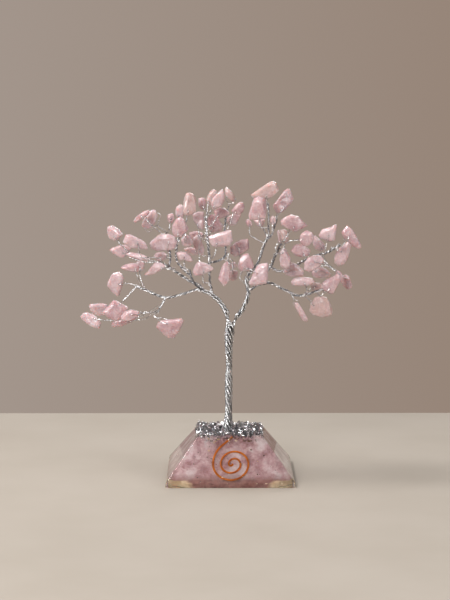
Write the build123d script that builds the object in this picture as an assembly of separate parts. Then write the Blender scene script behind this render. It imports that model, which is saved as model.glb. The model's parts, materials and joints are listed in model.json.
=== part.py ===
from build123d import *
from dataclasses import dataclass
from math import atan2, cos, hypot, pi, radians, sin, tan
import os
import random

# A gem tree: drilled rose quartz chips on twisted silver wire, growing out of a clear cast pyramid.
# Millimetres, +Z up, the bottom's centre at the origin, the face with the copper spiral towards -Y.

# Cast base
base_side = 65.0
base_height = 23.0
lip_height = 3.0
lip_draft = 0.5
top_side = 33.0

# Copper spiral under the front face
spiral_wire_diameter = 1.1
spiral_radius = 8.9
spiral_pitch = 3.9
spiral_rise = 10.4
spiral_shift = 0.2
spiral_depth = 1.0
spiral_lead_radius = 14.0
spiral_lead_turn = 48
spiral_tail = 7.0
spiral_half_turns = 5

# Crushed quartz in the casting: one mass that stands off the faces
mass_floor = 0.7
mass_roof = 1.3
mass_wall = 1.7
mass_front_wall = 3.0
mass_lump = 0.45
mass_corner = 5.0
mass_levels = 9
mass_side_points = 9
mass_trunk_gap = 1.0

# Shavings on the top face
curl_cell = 4.1
curl_radius = 1.6
curl_width = 1.0
curl_thickness = 0.16
curl_seat = 0.02
curl_trunk_gap = 0.3

# Wire
wire_diameter = 0.4
pair_radius = 0.44
twig_radius = 0.55
branch_radius = 0.8
limb_radius = 1.35
trunk_radius = 2.05
trunk_foot_depth = 14.0
foot_share = 1.15
casting_gap = 0.05
joint_gap = 0.05

# Crown
crown_width = 143.0
chip_hole_diameter = 0.6
face_gap = 0.12
crotch_gap = 1.2
crotch_lead = 2.4
pair_grip = 1.0
loop_bend = 0.35
leg_bend = 0.5
overrun = 30.0

# Where the crown is seen from, in crown widths, and the picture's own measures
eye_shares = (-0.0471, -6.46, 1.408)
focal_px = 1826
middle_px = (225, 300)
foot_px = (228.3, 431)
look_down = 6.85
look_turn = -0.26
layer_share = 0.056

random.seed(7)
half = 0.5
os.makedirs("parts", exist_ok=True)


def sight(px, py):
    """The direction in which a point of the picture lies, seen from the eye."""
    right = (px - middle_px[0]) / focal_px
    up = (middle_px[1] - py) / focal_px
    down = radians(look_down)
    ahead = Vector(right, cos(down) + up * sin(down), up * cos(down) - sin(down))
    return ahead.rotate(Axis.Z, look_turn)


def on_sight(px, py, point, normal):
    """Where the line of sight meets the plane through a point."""
    ray = sight(px, py)
    return eye + ray * ((point - eye).dot(normal) / ray.dot(normal))


def seen_at(px, py, layer=0):
    """A point of the picture, a number of chip layers behind the trunk."""
    return on_sight(px, py, Vector(0, layer * layer_share * crown_width, 0), Vector(0, 1, 0))


# The crown stands on the base: the eye is raised until the trunk's foot is seen on the top face
eye = Vector(*(share * crown_width for share in eye_shares))
eye += Vector(0, 0, base_height - seen_at(*foot_px).Z)
foot = seen_at(*foot_px)


def bent_path(points):
    """Straight runs joined by arcs as large as the runs allow."""
    if len(points) == 2:
        return Wire([Line(*points)])
    run_share = 0.45
    radii = []
    for before, corner, after in zip(points, points[1:], points[2:]):
        shorter = min((corner - before).length, (after - corner).length)
        turn = (corner - before).get_angle(after - corner)
        radii.append(run_share * shorter / tan(radians(turn) * half))
    return Wire(FilletPolyline(*points, radius=radii).edges())


def tube(path, radius):
    """Round wire along a path."""
    section = Plane(path @ 0, z_dir=path % 0) * Circle(radius)
    return sweep(section, path=path)


def shell_solid(rings):
    """A closed solid with flat faces through rings of as many points each."""
    faces = [Face(Wire.make_polygon(rings[0])), Face(Wire.make_polygon(rings[-1]))]
    for lower, upper in zip(rings, rings[1:]):
        for index in range(len(lower)):
            after = (index + 1) % len(lower)
            faces.append(Face(Wire.make_polygon([lower[index], lower[after], upper[after], upper[index]])))
    return Solid(Shell(faces))


def facet_solid(rings):
    """A closed solid with three-cornered faces through rings whose points need not lie flat."""
    faces = [Face(Wire.make_polygon(rings[0])), Face(Wire.make_polygon(rings[-1]))]
    for lower, upper in zip(rings, rings[1:]):
        for index in range(len(lower)):
            after = (index + 1) % len(lower)
            faces.append(Face(Wire.make_polygon([lower[index], lower[after], upper[after]])))
            faces.append(Face(Wire.make_polygon([lower[index], upper[after], upper[index]])))
    return Solid(Shell(faces))


# How a tumbled chip rounds off: the share of its outline at each share of its thickness
pebble_shares = [(0.58, -1.0), (0.86, -0.76), (1.0, -0.3), (1.0, 0.3), (0.88, 0.76), (0.6, 1.0)]


def pebble(outline, normal, thickness, slip):
    """A stone with this outline round its middle."""
    centre = sum(outline, Vector()) / len(outline)
    longest = max((point - centre).length for point in outline)
    side = (outline[0] - centre).normalized()
    rings = []
    for outline_share, thick_share in pebble_shares:
        drift = side * (slip * longest * (1 - outline_share)) + normal * (thickness * half * thick_share)
        rings.append([centre + drift + (point - centre) * outline_share for point in outline])
    return shell_solid(rings)


# A rope's outline over one strand, as shares of its radius
lobe_shares = (1.0, 0.94, 0.8, 0.94)


def twisted_bundle(path, radius_shares, radius, lobes, turns, stations):
    """A rope of wires: a lobed section that turns as it runs along a path."""
    count = lobes * len(lobe_shares)
    rings = []
    for station in range(stations + 1):
        share = station / stations
        across = Plane(path @ share, x_dir=(path % share).cross(Vector(0, 1, 0)), z_dir=path % share)
        for (start, start_share), (end, end_share) in zip(radius_shares, radius_shares[1:]):
            if start <= share <= end:
                swell = start_share + (end_share - start_share) * (share - start) / (end - start)
        ring = []
        for index in range(count):
            angle = 2 * pi * (index / count + turns * share)
            reach = radius * swell * lobe_shares[index % len(lobe_shares)]
            ring.append(across.from_local_coords(Vector(reach * cos(angle), reach * sin(angle), 0)))
        rings.append(ring)
    return facet_solid(rings)


# Base: the casting's outside

def slope_half(height):
    """Half the pyramid's side at a height above the lip."""
    rise = (height - lip_height) / (base_height - lip_height)
    return (base_side * half - lip_draft) * (1 - rise) + top_side * half * rise


def square_ring(half_side, height):
    return [Vector(x * half_side, y * half_side, height) for x, y in ((-1, -1), (1, -1), (1, 1), (-1, 1))]


casting = shell_solid([
    square_ring(base_side * half, 0),
    square_ring(base_side * half - lip_draft, lip_height),
    square_ring(top_side * half, base_height),
])

# Copper spiral: half turns about two centres, in a plane under the front face

front_lean = atan2(base_height - lip_height, (base_side - top_side) * half - lip_draft)
front_up = Vector(0, cos(front_lean), sin(front_lean))
front_out = Vector(0, -sin(front_lean), cos(front_lean))
front_edge = Vector(0, lip_draft - base_side * half, lip_height)
spiral_middle_depth = spiral_depth + spiral_wire_diameter * half
spiral_centre = front_edge + front_up * spiral_rise - front_out * spiral_middle_depth
spiral_plane = Plane(spiral_centre + Vector(spiral_shift, 0, 0), x_dir=Vector(1, 0, 0), z_dir=front_out)


def spiral_path():
    """Outer end first: a tail, a wide arc, then half turns that shrink towards the middle."""
    arcs = []
    middle = 0.0
    radius = spiral_radius
    step = spiral_pitch * half
    for turn in range(spiral_half_turns):
        start = 180 if turn % 2 == 0 else 0
        arcs.append(CenterArc((middle, 0), radius, start, 180))
        middle += step if turn % 2 == 0 else -step
        radius -= step
    lead = CenterArc((spiral_lead_radius - spiral_radius, 0), spiral_lead_radius,
                     180 - spiral_lead_turn, spiral_lead_turn)
    tail = Line(lead @ 0 - (lead % 0) * spiral_tail, lead @ 0)
    return spiral_plane * Wire([tail, lead] + arcs)


spiral_line = spiral_path()
spiral = tube(spiral_line, spiral_wire_diameter * half)


def least_gap(line, diameter, steps=240):
    """The smallest clear distance between parts of a line more than a few diameters apart along it."""
    points = [line @ (step / steps) for step in range(steps + 1)]
    apart = int(3 * diameter / (line.length / steps)) + 1
    gaps = [(points[i] - points[j]).length for i in range(steps + 1) for j in range(i + apart, steps + 1)]
    return min(gaps) - diameter


print("spiral gap to itself", round(least_gap(spiral_line, spiral_wire_diameter), 2))

# Crushed quartz: a lumpy block with cut corners, whose hole holds the trunk's foot

trunk_foot_radius = trunk_radius * foot_share


def lumpy_ring(height):
    """Points round the casting at a height, each a little in or out of line."""
    room = slope_half(max(height, lip_height)) - mass_wall
    front = room + mass_wall - mass_front_wall
    corners = [(-1, -1), (1, -1), (1, 1), (-1, 1)]
    ring = []
    for (x, y), (next_x, next_y) in zip(corners, corners[1:] + corners[:1]):
        for point in range(mass_side_points):
            share = (point + half) / mass_side_points
            along_x = x + (next_x - x) * share
            along_y = y + (next_y - y) * share
            cut = max(0, abs(along_x) + abs(along_y) - 2 + mass_corner / room) * half
            inward = 1 - cut - random.uniform(0, mass_lump) / room
            reach_y = front if along_y < 0 else room
            ring.append(Vector(along_x * room * inward, along_y * reach_y * inward, height))
    return ring


mass_rise = base_height - mass_roof - mass_floor
mass_rings = [lumpy_ring(mass_floor + mass_rise * level / mass_levels) for level in range(mass_levels + 1)]
mass_hole = Pos(foot.X, foot.Y, base_height - trunk_foot_depth - mass_trunk_gap) * Cylinder(
    trunk_foot_radius + mass_trunk_gap, overrun, align=(Align.CENTER, Align.CENTER, Align.MIN))
mass = facet_solid(mass_rings) - mass_hole

# Shavings: curled ribbons that lie and stand on the top face

curls = []
across = round(top_side / curl_cell)
pitch = top_side / across
for column in range(across):
    for row in range(across):
        middle = Vector(column + half, row + half, 0) * pitch - Vector(top_side, top_side, 0) * half
        roll = random.choice((8, 30, 55, 82))
        heading = random.uniform(0, 360)
        radius = curl_radius * random.uniform(0.78, 1.0)
        sweep_angle = random.uniform(230, 320)
        reach = hypot(curl_radius, curl_width * half)
        if hypot(middle.X - foot.X, middle.Y - foot.Y) < trunk_foot_radius + reach + curl_trunk_gap:
            continue
        outer = CenterArc((0, 0), radius, 0, sweep_angle)
        inner = CenterArc((0, 0), radius - curl_thickness, 0, sweep_angle)
        ribbon = make_face([outer, inner, Line(outer @ 0, inner @ 0), Line(outer @ 1, inner @ 1)])
        curl = extrude(ribbon, amount=curl_width * half, both=True)
        curl = Rot(0, roll, heading) * curl
        drop = base_height + curl_seat - curl.bounding_box().min.Z
        curls.append(Pos(middle.X, middle.Y, drop) * curl)

# Trunk and limbs: wires laid up together, forking at the top

trunk_px = [(228.7, 400), (229.0, 365), (229.6, 335), (230.8, 321)]
trunk_places = [seen_at(*place) for place in trunk_px]
trunk_rise = Spline(foot, *trunk_places, tangents=[Vector(0, 0, 1), trunk_places[-1] - trunk_places[-2]])
trunk_path = Wire([Line(foot - Vector(0, 0, trunk_foot_depth), foot), trunk_rise])
trunk_shares = [(0, foot_share), (0.2, foot_share), (0.28, 1.0), (0.8, 1.0), (0.93, 1.18), (1, 1.1)]
trunk = twisted_bundle(trunk_path, trunk_shares, trunk_radius, lobes=6, turns=-3.2, stations=32)

fork = trunk_path @ 1
fork_up = trunk_path % 1
fork_spread = Vector(0, 1, 0).cross(fork_up) * (limb_radius + joint_gap)
left_limb_px = [(225.6, 311), (219.8, 302), (209.6, 293.6), (197.5, 289.8)]
right_limb_px = [(240, 315), (245, 306), (249.3, 293.5), (246.8, 284), (246.5, 276.5)]


@dataclass
class Growth:
    """A run of wire that others grow from, with the room that it takes up."""
    node: str
    path: Wire
    room: Solid
    solid: Solid


def nearest_place(path, px, py):
    """The place along a path that is seen nearest to a point of the picture."""
    wanted = seen_at(px, py)
    steps = 80
    places = [path @ (step / steps) for step in range(steps + 1)]
    return min(places, key=lambda place: hypot(place.X - wanted.X, place.Z - wanted.Z))


limb_swell = 1.06
limb_shares = [(0, 1.0), (0.3, limb_swell), (1, 0.86)]
grown = {}
for name, side, route_px in (("left_limb", -1, left_limb_px), ("right_limb", 1, right_limb_px)):
    root = fork + fork_spread * side + fork_up * joint_gap
    points = [root, root + fork_up * limb_radius] + [seen_at(*place) for place in route_px]
    path = bent_path(points)
    bundle = twisted_bundle(path, limb_shares, limb_radius, lobes=5, turns=-2.2, stations=20)
    grown[name] = Growth(f"{name}_wires", path, tube(path, limb_radius * limb_swell + joint_gap), bundle)

# Branches, each from an earlier one: name, what it leaves, where, its radius and its route (px, px, layer)
branch_px = [
    ("low_left", "left_limb", (197.5, 289.8), branch_radius,
     [(184, 294.4, -0.3), (165.5, 299.9, -0.6), (149, 292.4, -0.7), (136.5, 287, -0.6)]),
    ("low_left_drop", "low_left", (165.5, 299.9), twig_radius,
     [(161.5, 306, -0.9), (157.5, 313.5, -1.1)]),
    ("upper_left", "left_limb", (205, 292.2), branch_radius,
     [(198.5, 285, 0.35), (190.5, 282.5, 0.4), (177.6, 273.6, 0.4), (168.4, 267, 0.3), (158.5, 263, 0.2)]),
    ("upper_left_rise", "upper_left", (169, 267.3), twig_radius,
     [(171, 257, 0.7), (167.5, 245, 1.2), (166.5, 233, 0.9)]),
    ("middle_left", "left_limb", (206, 292.3), twig_radius,
     [(195, 285.5, -0.5), (191.5, 279, -0.6), (189.5, 270.5, -0.5)]),
    ("middle_left_rise", "middle_left", (191, 277), twig_radius,
     [(181.5, 268.3, 0.1), (176, 261.5, 0.4), (176.5, 249, 0.6), (178.5, 237, 0.4), (184.5, 222, 0.5)]),
    ("inner_left", "left_limb", (212.5, 296), branch_radius,
     [(209.8, 283, 0.2), (209.6, 270, 0.3), (209.2, 252, 0.2), (207, 238, 0.3), (206.3, 217, 0.5)]),
    ("inner_left_side", "inner_left", (209.6, 264), twig_radius,
     [(218, 262, 0.3), (226, 257.5, 0.5), (225.5, 246, 0.7), (224.6, 230, 0.9), (226.5, 211, 1.4)]),
    ("right_top", "right_limb", (246.5, 277.5), branch_radius,
     [(252.5, 271, 0.5), (259, 262.5, 0.6), (263.5, 246.5, 0.5), (269.2, 235.5, 0.4)]),
    ("right_top_rise", "right_top", (268.5, 236.8), twig_radius,
     [(268.6, 228, 0.4), (268.8, 215, 0.3), (267.8, 204, 0.4)]),
    ("right_top_side", "right_top", (266.5, 241), twig_radius,
     [(271.5, 236.5, 0.5), (274.5, 228, 0.5), (277, 219.5, 0.3)]),
    ("right_second", "right_limb", (248.2, 281), branch_radius,
     [(257, 277.5, 1.0), (270.5, 269.5, 1.2), (275, 257, 1.0), (281, 244.5, 0.3)]),
    ("low_right", "right_limb", (249.3, 291.5), branch_radius,
     [(259.5, 285, -0.3), (270, 283.2, -0.4), (286.5, 291.5, -0.5), (299, 297.8, -0.4), (314.5, 292.6, -0.3),
      (325, 289.3, -0.2)]),
    ("outer_right", "right_second", (270.5, 269.5), branch_radius,
     [(280, 272.8, 1.6), (291, 270, 1.9), (302, 262.5, 1.0), (313, 256.8, 0.4), (324, 254.8, 0.2),
      (335.5, 249.2, -0.1), (340, 245, -0.2)]),
]
branch_nodes = {
    "low_left": "low_left_branch_wires",
    "low_left_drop": "low_left_branch_wires",
    "upper_left": "upper_left_branch_wires",
    "upper_left_rise": "upper_left_branch_wires",
    "middle_left": "middle_left_branch_wires",
    "middle_left_rise": "middle_left_branch_wires",
    "inner_left": "inner_left_branch_wires",
    "inner_left_side": "inner_left_branch_wires",
    "right_top": "right_top_branch_wires",
    "right_top_rise": "right_top_branch_wires",
    "right_top_side": "right_top_branch_wires",
    "right_second": "right_second_branch_wires",
    "low_right": "low_right_branch_wires",
    "outer_right": "outer_right_branch_wires",
}
for name, parent_name, leave_px, radius, route_px in branch_px:
    parent = grown[parent_name]
    path = bent_path([nearest_place(parent.path, *leave_px)] + [seen_at(*place) for place in route_px])
    solid = tube(path, radius) - parent.room
    grown[name] = Growth(branch_nodes[name], path, tube(path, radius + joint_gap), solid)


@dataclass
class Chip:
    """A drilled chip: where it is seen, how it is turned and which wires hold it."""
    name: str
    branch: str
    layer: float
    turn: float
    lean: float
    thick_px: float
    swivel: float
    drilled: str
    hole_px: tuple
    leave_px: tuple
    bends_px: list
    outline_px: list


# Each chip: name, branch, layer, turn, lean, thickness (px), swivel, hole through its faces or across its
# edge, hole (px), where its wires leave the branch (px), their bends (px, px, layer), and its outline (px)
chips = [
    # Low left branch
    Chip("low_left_chip_1", "low_left", -1.2, 10, -6, 8, 12, "through", (119.5, 305.5), (136.5, 287), [],
         [(101.8, 313), (107.5, 307.5), (113.3, 300.8), (117, 301.5), (128.8, 308.3), (127, 311.5), (120, 321),
          (116, 322), (108, 319.2)]),
    Chip("low_left_chip_2", "low_left", 0.6, -14, 8, 8, 15, "through", (120, 284), (139.5, 288.2), [],
         [(107.2, 286.5), (108, 282.5), (111, 276), (113.5, 273.3), (118.5, 272.5), (122.5, 275), (124, 279),
          (122, 288), (119.3, 296.5), (117.5, 297), (111.5, 292)]),
    Chip("low_left_chip_3", "low_left", -2.0, 12, 10, 10, 12, "through", (134.5, 268.5), (142, 289.3),
         [(137.5, 278, -1.6)],
         [(120.3, 268.3), (125.5, 265.6), (131.5, 264.2), (138, 264), (139.5, 268), (138.5, 272), (132.5, 272.2),
          (126, 271)]),
    Chip("low_left_chip_4", "low_left_drop", -2.6, -18, 12, 9, 15, "through", (169, 323.5), (160.9, 307.2), [],
         [(156, 327.5), (158.5, 322.5), (161.5, 320.8), (172, 320), (181, 319), (183.5, 321.5), (182.8, 325),
          (179, 332.5), (174.5, 338.8), (168.5, 338.8), (164, 335)]),
    Chip("low_left_chip_5", "low_left_drop", 0.0, 18, 5, 8, 12, "through", (104, 310.5), (157.5, 313.5),
         [(130, 313, 0.8), (115, 312, 0.1)],
         [(88.8, 307), (90.5, 304.8), (100, 304), (107, 304.5), (108.5, 309), (105, 315), (99.5, 316.5),
          (94.5, 316), (90.5, 311.5)]),
    Chip("low_left_chip_6", "low_left_drop", 1.2, -20, -8, 8, 12, "through", (95, 319.5), (163.6, 303),
         [(138.5, 319.8, 1.5), (107, 321, 1.4)],
         [(80.5, 317), (83.5, 313.5), (87.5, 312.8), (94, 315.5), (99.5, 319.5), (100.8, 324), (99.5, 329.5),
          (96.5, 329.5), (88, 326), (82, 320.5)]),
    Chip("low_left_inner_chips", "low_left_drop", -2.4, 6, 9, 10, 0, "through", (131, 314), (159.3, 310.2),
         [(148.9, 313.5, -2.2)],
         [(120.5, 317.5), (124.5, 312.5), (132, 310), (138.5, 311.8), (140, 315.5), (136, 319.5), (127, 322),
          (121.5, 321.5)]),
    Chip("low_left_inner_chips", "low_left_drop", 0.3, -6, -5, 9, 0, "through", (129, 322), (162, 305.2),
         [(146, 320, -0.3)],
         [(110.8, 326.5), (112.5, 322), (118, 320.5), (129, 319), (135.3, 319.3), (131, 323.5), (121, 327.6),
          (113, 328.3)]),
    Chip("low_left_inner_chips", "low_left", 0.3, 8, -6, 7, 0, "through", (139.5, 268.5), (145.5, 290.8),
         [(140.5, 280, 0.1)],
         [(135, 263), (140, 261.3), (144.3, 263.5), (144.8, 267.5), (142.5, 271.8), (137, 272)]),
    # Upper left branch and the sprig that rises from it
    Chip("upper_left_chip_1", "upper_left", 0.2, -22, 6, 8, 15, "through", (116, 237), (158.5, 263),
         [(134, 257.5, 0.4), (122.5, 247, 0.3)],
         [(108, 227), (112, 225.3), (118, 229.5), (123, 235), (120, 238.5), (115, 241.3), (109, 239.5),
          (107.3, 232)]),
    Chip("upper_left_chip_2", "upper_left", -2.0, 12, 8, 11, 15, "through", (137, 243.5), (163.5, 265),
         [(160, 258, -1.2), (141, 258.5, -1.9)],
         [(122.5, 243), (126, 235.5), (131, 235.2), (141, 240), (148, 245), (149, 248.5), (146.5, 250),
          (139, 249.2), (128, 248)]),
    Chip("upper_left_chip_3", "upper_left", 0.9, 10, -8, 8, 0, "through", (122.5, 254), (160.3, 263.7),
         [(141, 263, 1.0)],
         [(109.2, 250.7), (113, 248), (121, 245.5), (130, 244.7), (132.5, 247.5), (128, 254.5), (125.3, 258),
          (121.5, 259.3), (117.5, 257.5), (112, 253.8)]),
    Chip("upper_left_chip_4", "upper_left", -1.9, -8, 10, 11, 0, "through", (162, 268), (175, 271.5),
         [(174.5, 268, -1.4)],
         [(144.3, 275.3), (147.5, 272), (152, 266), (155, 263.3), (161, 263.8), (166, 266.8), (162, 270.3),
          (155.5, 274), (146, 276)]),
    Chip("upper_left_chip_5", "upper_left_rise", -0.8, -10, 8, 9, 0, "through", (169.5, 242), (170.8, 259.5), [],
         [(149.3, 244), (152.5, 240), (160, 235.5), (168, 234.5), (174.5, 237), (177, 243), (175.5, 249),
          (168, 252), (159, 252.6), (151.5, 249)]),
    Chip("upper_left_chip_6", "upper_left_rise", -0.2, 14, 4, 7, 12, "across", (151, 221.5), (166.6, 234.2), [],
         [(141.5, 226.5), (143.5, 220), (149, 212), (152, 210.2), (155.8, 210.5), (157.5, 216), (156, 221.5),
          (152.8, 227.5), (149, 229.2), (144.5, 229.8)]),
    Chip("upper_left_chip_7", "upper_left_rise", 0.2, 8, -6, 7, 15, "through", (170.7, 219.5), (166.9, 237.4), [],
         [(166.8, 217.5), (168.5, 214.3), (172.5, 213.5), (174.7, 216), (174.5, 219.5), (172.5, 223.5),
          (170, 224), (167.5, 221)]),
    Chip("upper_left_inner_chips", "upper_left", -0.8, -6, -5, 10, 0, "through", (145.5, 259), (161.3, 264.1), [],
         [(126, 254.5), (130.5, 252.7), (139.5, 254), (147.5, 256.7), (151, 260.3), (148.5, 262.3),
          (143.5, 262.3), (134.5, 259.3), (127, 256.6)]),
    Chip("upper_left_inner_chips", "upper_left", 0.6, 6, 5, 7, 0, "through", (160, 258), (166, 266.1),
         [(160, 271, 0.6)],
         [(153.5, 257), (156, 253.5), (163, 252.3), (167, 255), (165.5, 260), (160, 262.5), (155, 261)]),
    Chip("upper_left_inner_chips", "upper_left_rise", 1.9, -5, 6, 7, 0, "through", (160, 238), (169.5, 251),
         [(162, 250.5, 1.9)],
         [(153.5, 239.5), (158, 235.5), (164, 233.5), (168, 236), (165, 241), (157, 242)]),
    Chip("upper_left_inner_chips", "upper_left_rise", -1.3, -18, 8, 9, 0, "through", (143, 216), (167.2, 240.2),
         [(157.5, 230.5, -1.2)],
         [(133.6, 221.7), (135.5, 217.8), (143.5, 212), (148.8, 210.4), (149.8, 213), (146.5, 217.3),
          (139.3, 221.8), (135.3, 224)]),
    # Middle left branch and the sprig that rises from it
    Chip("middle_left_chip_1", "middle_left_rise", -0.2, 10, -5, 8, 12, "through", (187.5, 211), (184.5, 222), [],
         [(186, 194), (189, 192.8), (193, 194.2), (196, 198.5), (197.5, 207), (196.5, 213), (190, 216.5),
          (184.5, 216), (182, 211), (183.5, 201)]),
    Chip("middle_left_chip_2", "middle_left_rise", -2.0, -12, 8, 9, 0, "through", (179, 234), (177.6, 242.5),
         [(179.2, 245, -1.9)],
         [(172.5, 226), (175.5, 220), (180, 217.5), (184, 220.5), (188.5, 229.5), (187, 233.5), (181, 238),
          (174.5, 237.5), (171.8, 232)]),
    Chip("middle_left_inner_chips", "middle_left_rise", 1.2, -8, 6, 7, 0, "through", (179.5, 216), (180, 232), [],
         [(175, 212), (176, 207.5), (180, 205), (183.5, 207), (184.5, 213), (183, 220), (178, 220),
          (175.5, 216)]),
    Chip("middle_left_inner_chips", "middle_left_rise", -0.4, 10, 5, 8, 0, "through", (185, 243), (182, 227), [],
         [(180.5, 243), (182, 237.5), (186, 234.5), (190.5, 237), (192.8, 241.5), (191.8, 246), (187.5, 248),
          (183, 246.8)]),
    Chip("middle_left_inner_chips", "middle_left", -0.4, -6, 8, 7, 0, "through", (184.5, 257), (189.5, 270.5),
         [(184.2, 269, -0.4)],
         [(176, 254), (179.5, 252), (186, 253), (190.5, 256.5), (193.3, 261), (191, 262.3), (185, 261),
          (179.5, 260.8), (177.3, 257.5)]),
    Chip("middle_left_inner_chips", "inner_left", 2.0, 6, -6, 7, 0, "through", (195.5, 252), (209.4, 258.5), [],
         [(183, 249), (190, 247.5), (198, 249.5), (201, 253.5), (195, 256.5), (187, 254.5)]),
    # Inner left branch and its side sprig
    Chip("inner_left_chip_1", "inner_left", -1.0, -8, 10, 9, 0, "through", (217.5, 243), (209.4, 262),
         [(214.5, 256.5, -0.9)],
         [(208.5, 237), (214, 235), (229, 230.5), (231.5, 231.5), (233, 242), (232, 246), (221, 247.3),
          (213, 247.5), (209.5, 243)]),
    Chip("inner_left_chip_2", "inner_left", -1.5, 8, 12, 11, 12, "through", (203, 270.5), (209.8, 284),
         [(203.5, 284, -1.4)],
         [(197, 263), (199.5, 261.7), (206, 264), (213, 268), (213.5, 269.3), (207, 273.5), (202, 275.8),
          (193.5, 276), (192.3, 273), (194.5, 267)]),
    Chip("inner_left_chip_3", "inner_left_side", -0.6, 12, -4, 8, 12, "through", (227.5, 267.5), (225.8, 253),
         [(228.5, 254.5, -0.5)],
         [(223, 264), (226, 261.3), (229, 263.5), (230.3, 272), (229.5, 281), (226, 285.5), (223.5, 287.3),
          (219.5, 284), (218.2, 279.5), (220.5, 271)]),
    Chip("inner_left_chip_4", "inner_left_side", 1.0, -10, 5, 8, 12, "across", (230.5, 198.5), (226.5, 211),
         [(228.5, 209, 1.2)],
         [(225, 189), (226.3, 187.2), (231.5, 191.8), (235, 198), (235, 202), (232.5, 202.5), (228.5, 199.5),
          (225, 194.5)]),
    Chip("inner_left_chip_5", "inner_left_side", -0.5, 10, 8, 7, 12, "through", (235, 211.5), (224.7, 229),
         [(229, 222.5, -0.3)],
         [(236, 205.5), (240, 201.8), (243, 203), (245.2, 207.5), (243, 212.5), (238.5, 216), (233, 214),
          (231, 212)]),
    Chip("inner_left_inner_chips", "inner_left", 0.4, 8, 5, 8, 0, "through", (208.5, 202), (206.3, 217), [],
         [(206.3, 199.5), (209.5, 193), (213, 189.3), (216.5, 191.5), (217, 200), (212, 206), (207.5, 205)]),
    Chip("inner_left_inner_chips", "inner_left", -0.8, -8, 8, 8, 0, "through", (214.5, 205.5), (206.5, 220.5), [],
         [(212.5, 199), (218, 192), (221.7, 189.3), (224.2, 192.5), (224.6, 201), (221.5, 207), (213, 210.3),
          (210.5, 205)]),
    Chip("inner_left_inner_chips", "inner_left", 1.6, -5, 6, 7, 0, "through", (202.5, 205.5), (206.3, 218.8), [],
         [(198, 199.3), (203, 197.8), (206, 199.5), (205.5, 209.8), (202.5, 210.5), (199, 208), (197.8, 203)]),
    Chip("inner_left_inner_chips", "inner_left", 0.7, 6, -5, 7, 0, "through", (218, 215.5), (206.8, 228),
         [(211.5, 227, 0.7)],
         [(213.5, 211.5), (220, 207.5), (225.5, 209), (229.5, 213), (229.8, 215.5), (224.5, 218),
          (219, 219.5), (214.5, 217)]),
    Chip("inner_left_inner_chips", "inner_left", 1.9, 5, 5, 7, 0, "through", (213, 228), (207.3, 240.5),
         [(208, 240, 1.9)],
         [(207.8, 218), (210, 214.8), (214, 215.5), (219, 219.5), (223, 226), (221.5, 231.5), (213, 233.5),
          (209, 230.5), (207.5, 224)]),
    Chip("inner_left_inner_chips", "inner_left", 1.0, -8, -5, 7, 0, "through", (198, 225), (206.9, 235.5),
         [(199.5, 237.5, 1.0)],
         [(192.3, 214.8), (198, 212), (203.8, 212.5), (204.6, 220), (204, 228.5), (202.3, 231), (197.8, 228.3),
          (193.3, 221)]),
    Chip("inner_left_inner_chips", "inner_left", 2.0, 8, 5, 7, 0, "through", (197.5, 236), (208, 246), [],
         [(189, 233), (196, 231.5), (203, 233.5), (204, 238), (198, 240.5), (190, 239.5)]),
    Chip("inner_left_inner_chips", "inner_left", 0.8, -6, 6, 7, 0, "through", (199.5, 250), (209.6, 267),
         [(199.5, 263, 0.8)],
         [(192.3, 238.5), (197, 235.5), (201.5, 240.5), (204.3, 249), (205, 254.5), (201.5, 256.5),
          (196.5, 252), (193, 245)]),
    Chip("inner_left_inner_chips", "inner_left_side", 1.7, 6, -5, 7, 0, "through", (230.5, 222.5), (225.1, 238),
         [(226, 234, 1.7)],
         [(230, 216), (236, 213), (241, 214.5), (239.5, 219.5), (236, 226), (230.5, 226.5), (226.5, 223),
          (227, 218)]),
    Chip("inner_left_inner_chips", "inner_left_side", 0.9, -8, 5, 7, 0, "through", (233, 274), (226, 257),
         [(233, 262, 0.9)],
         [(229.5, 271.5), (233, 270.5), (238, 271.5), (238.7, 276), (236.5, 280.5), (231.5, 281.7),
          (229, 278)]),
    Chip("inner_left_inner_chips", "inner_left_side", 1.9, 5, 6, 7, 0, "through", (233, 266), (221, 260.5), [],
         [(229.5, 264), (235, 262), (237, 266), (234, 269.5), (230, 268)]),
    # Right top branch with its two sprigs, and the right limb's own end
    Chip("right_top_chip_1", "right_top_rise", -0.2, -14, 8, 9, 12, "through", (267, 195), (267.9, 207.5), [],
         [(251, 195), (254.5, 192.5), (264, 186), (270.5, 182), (273.5, 181.2), (276, 183.5), (279.3, 191),
          (278, 196), (268, 199.5), (258, 199), (251.5, 199)]),
    Chip("right_top_chip_2", "right_top_rise", -1.3, -10, 6, 9, 12, "through", (259.5, 215.5), (268.6, 229.5),
         [(260, 229, -1.2)],
         [(252.5, 199.5), (258, 197), (266.5, 199.5), (266.8, 211), (265.5, 219.5), (256, 221), (249, 220.5),
          (248.3, 217)]),
    Chip("right_top_chip_3", "right_top_side", 0.9, 22, -6, 8, 12, "through", (282.3, 207.5), (277, 219.5), [],
         [(274, 209), (273, 205.5), (278, 198), (283.5, 192), (287.5, 189), (289.8, 190), (293.7, 199.5),
          (292, 203), (285.5, 210), (280.5, 214), (276.5, 213.5)]),
    Chip("right_top_chip_4", "right_top", 1.0, 6, -5, 9, 0, "through", (238, 248.5), (248.5, 275.2),
         [(241, 263.5, 1.0)],
         [(230, 247.5), (235, 243), (241, 240.3), (247.8, 239.5), (249, 244), (249, 252), (243, 255),
          (235, 257.5), (230, 254.5)]),
    Chip("right_limb_chip_1", "right_limb", -0.2, 8, 8, 8, 12, "through", (244, 266.5), (247.5, 287),
         [(239.5, 279, -0.2)],
         [(237.5, 268), (239, 259.5), (243, 255.5), (247.5, 253.5), (250.3, 256.5), (253.5, 264), (254, 269),
          (248, 271.7), (240.5, 271.7)]),
    Chip("right_limb_chip_2", "right_limb", -1.5, -10, -5, 9, 12, "through", (258, 274.5), (246.9, 279.5),
         [(247, 269, -1.5)],
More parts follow.
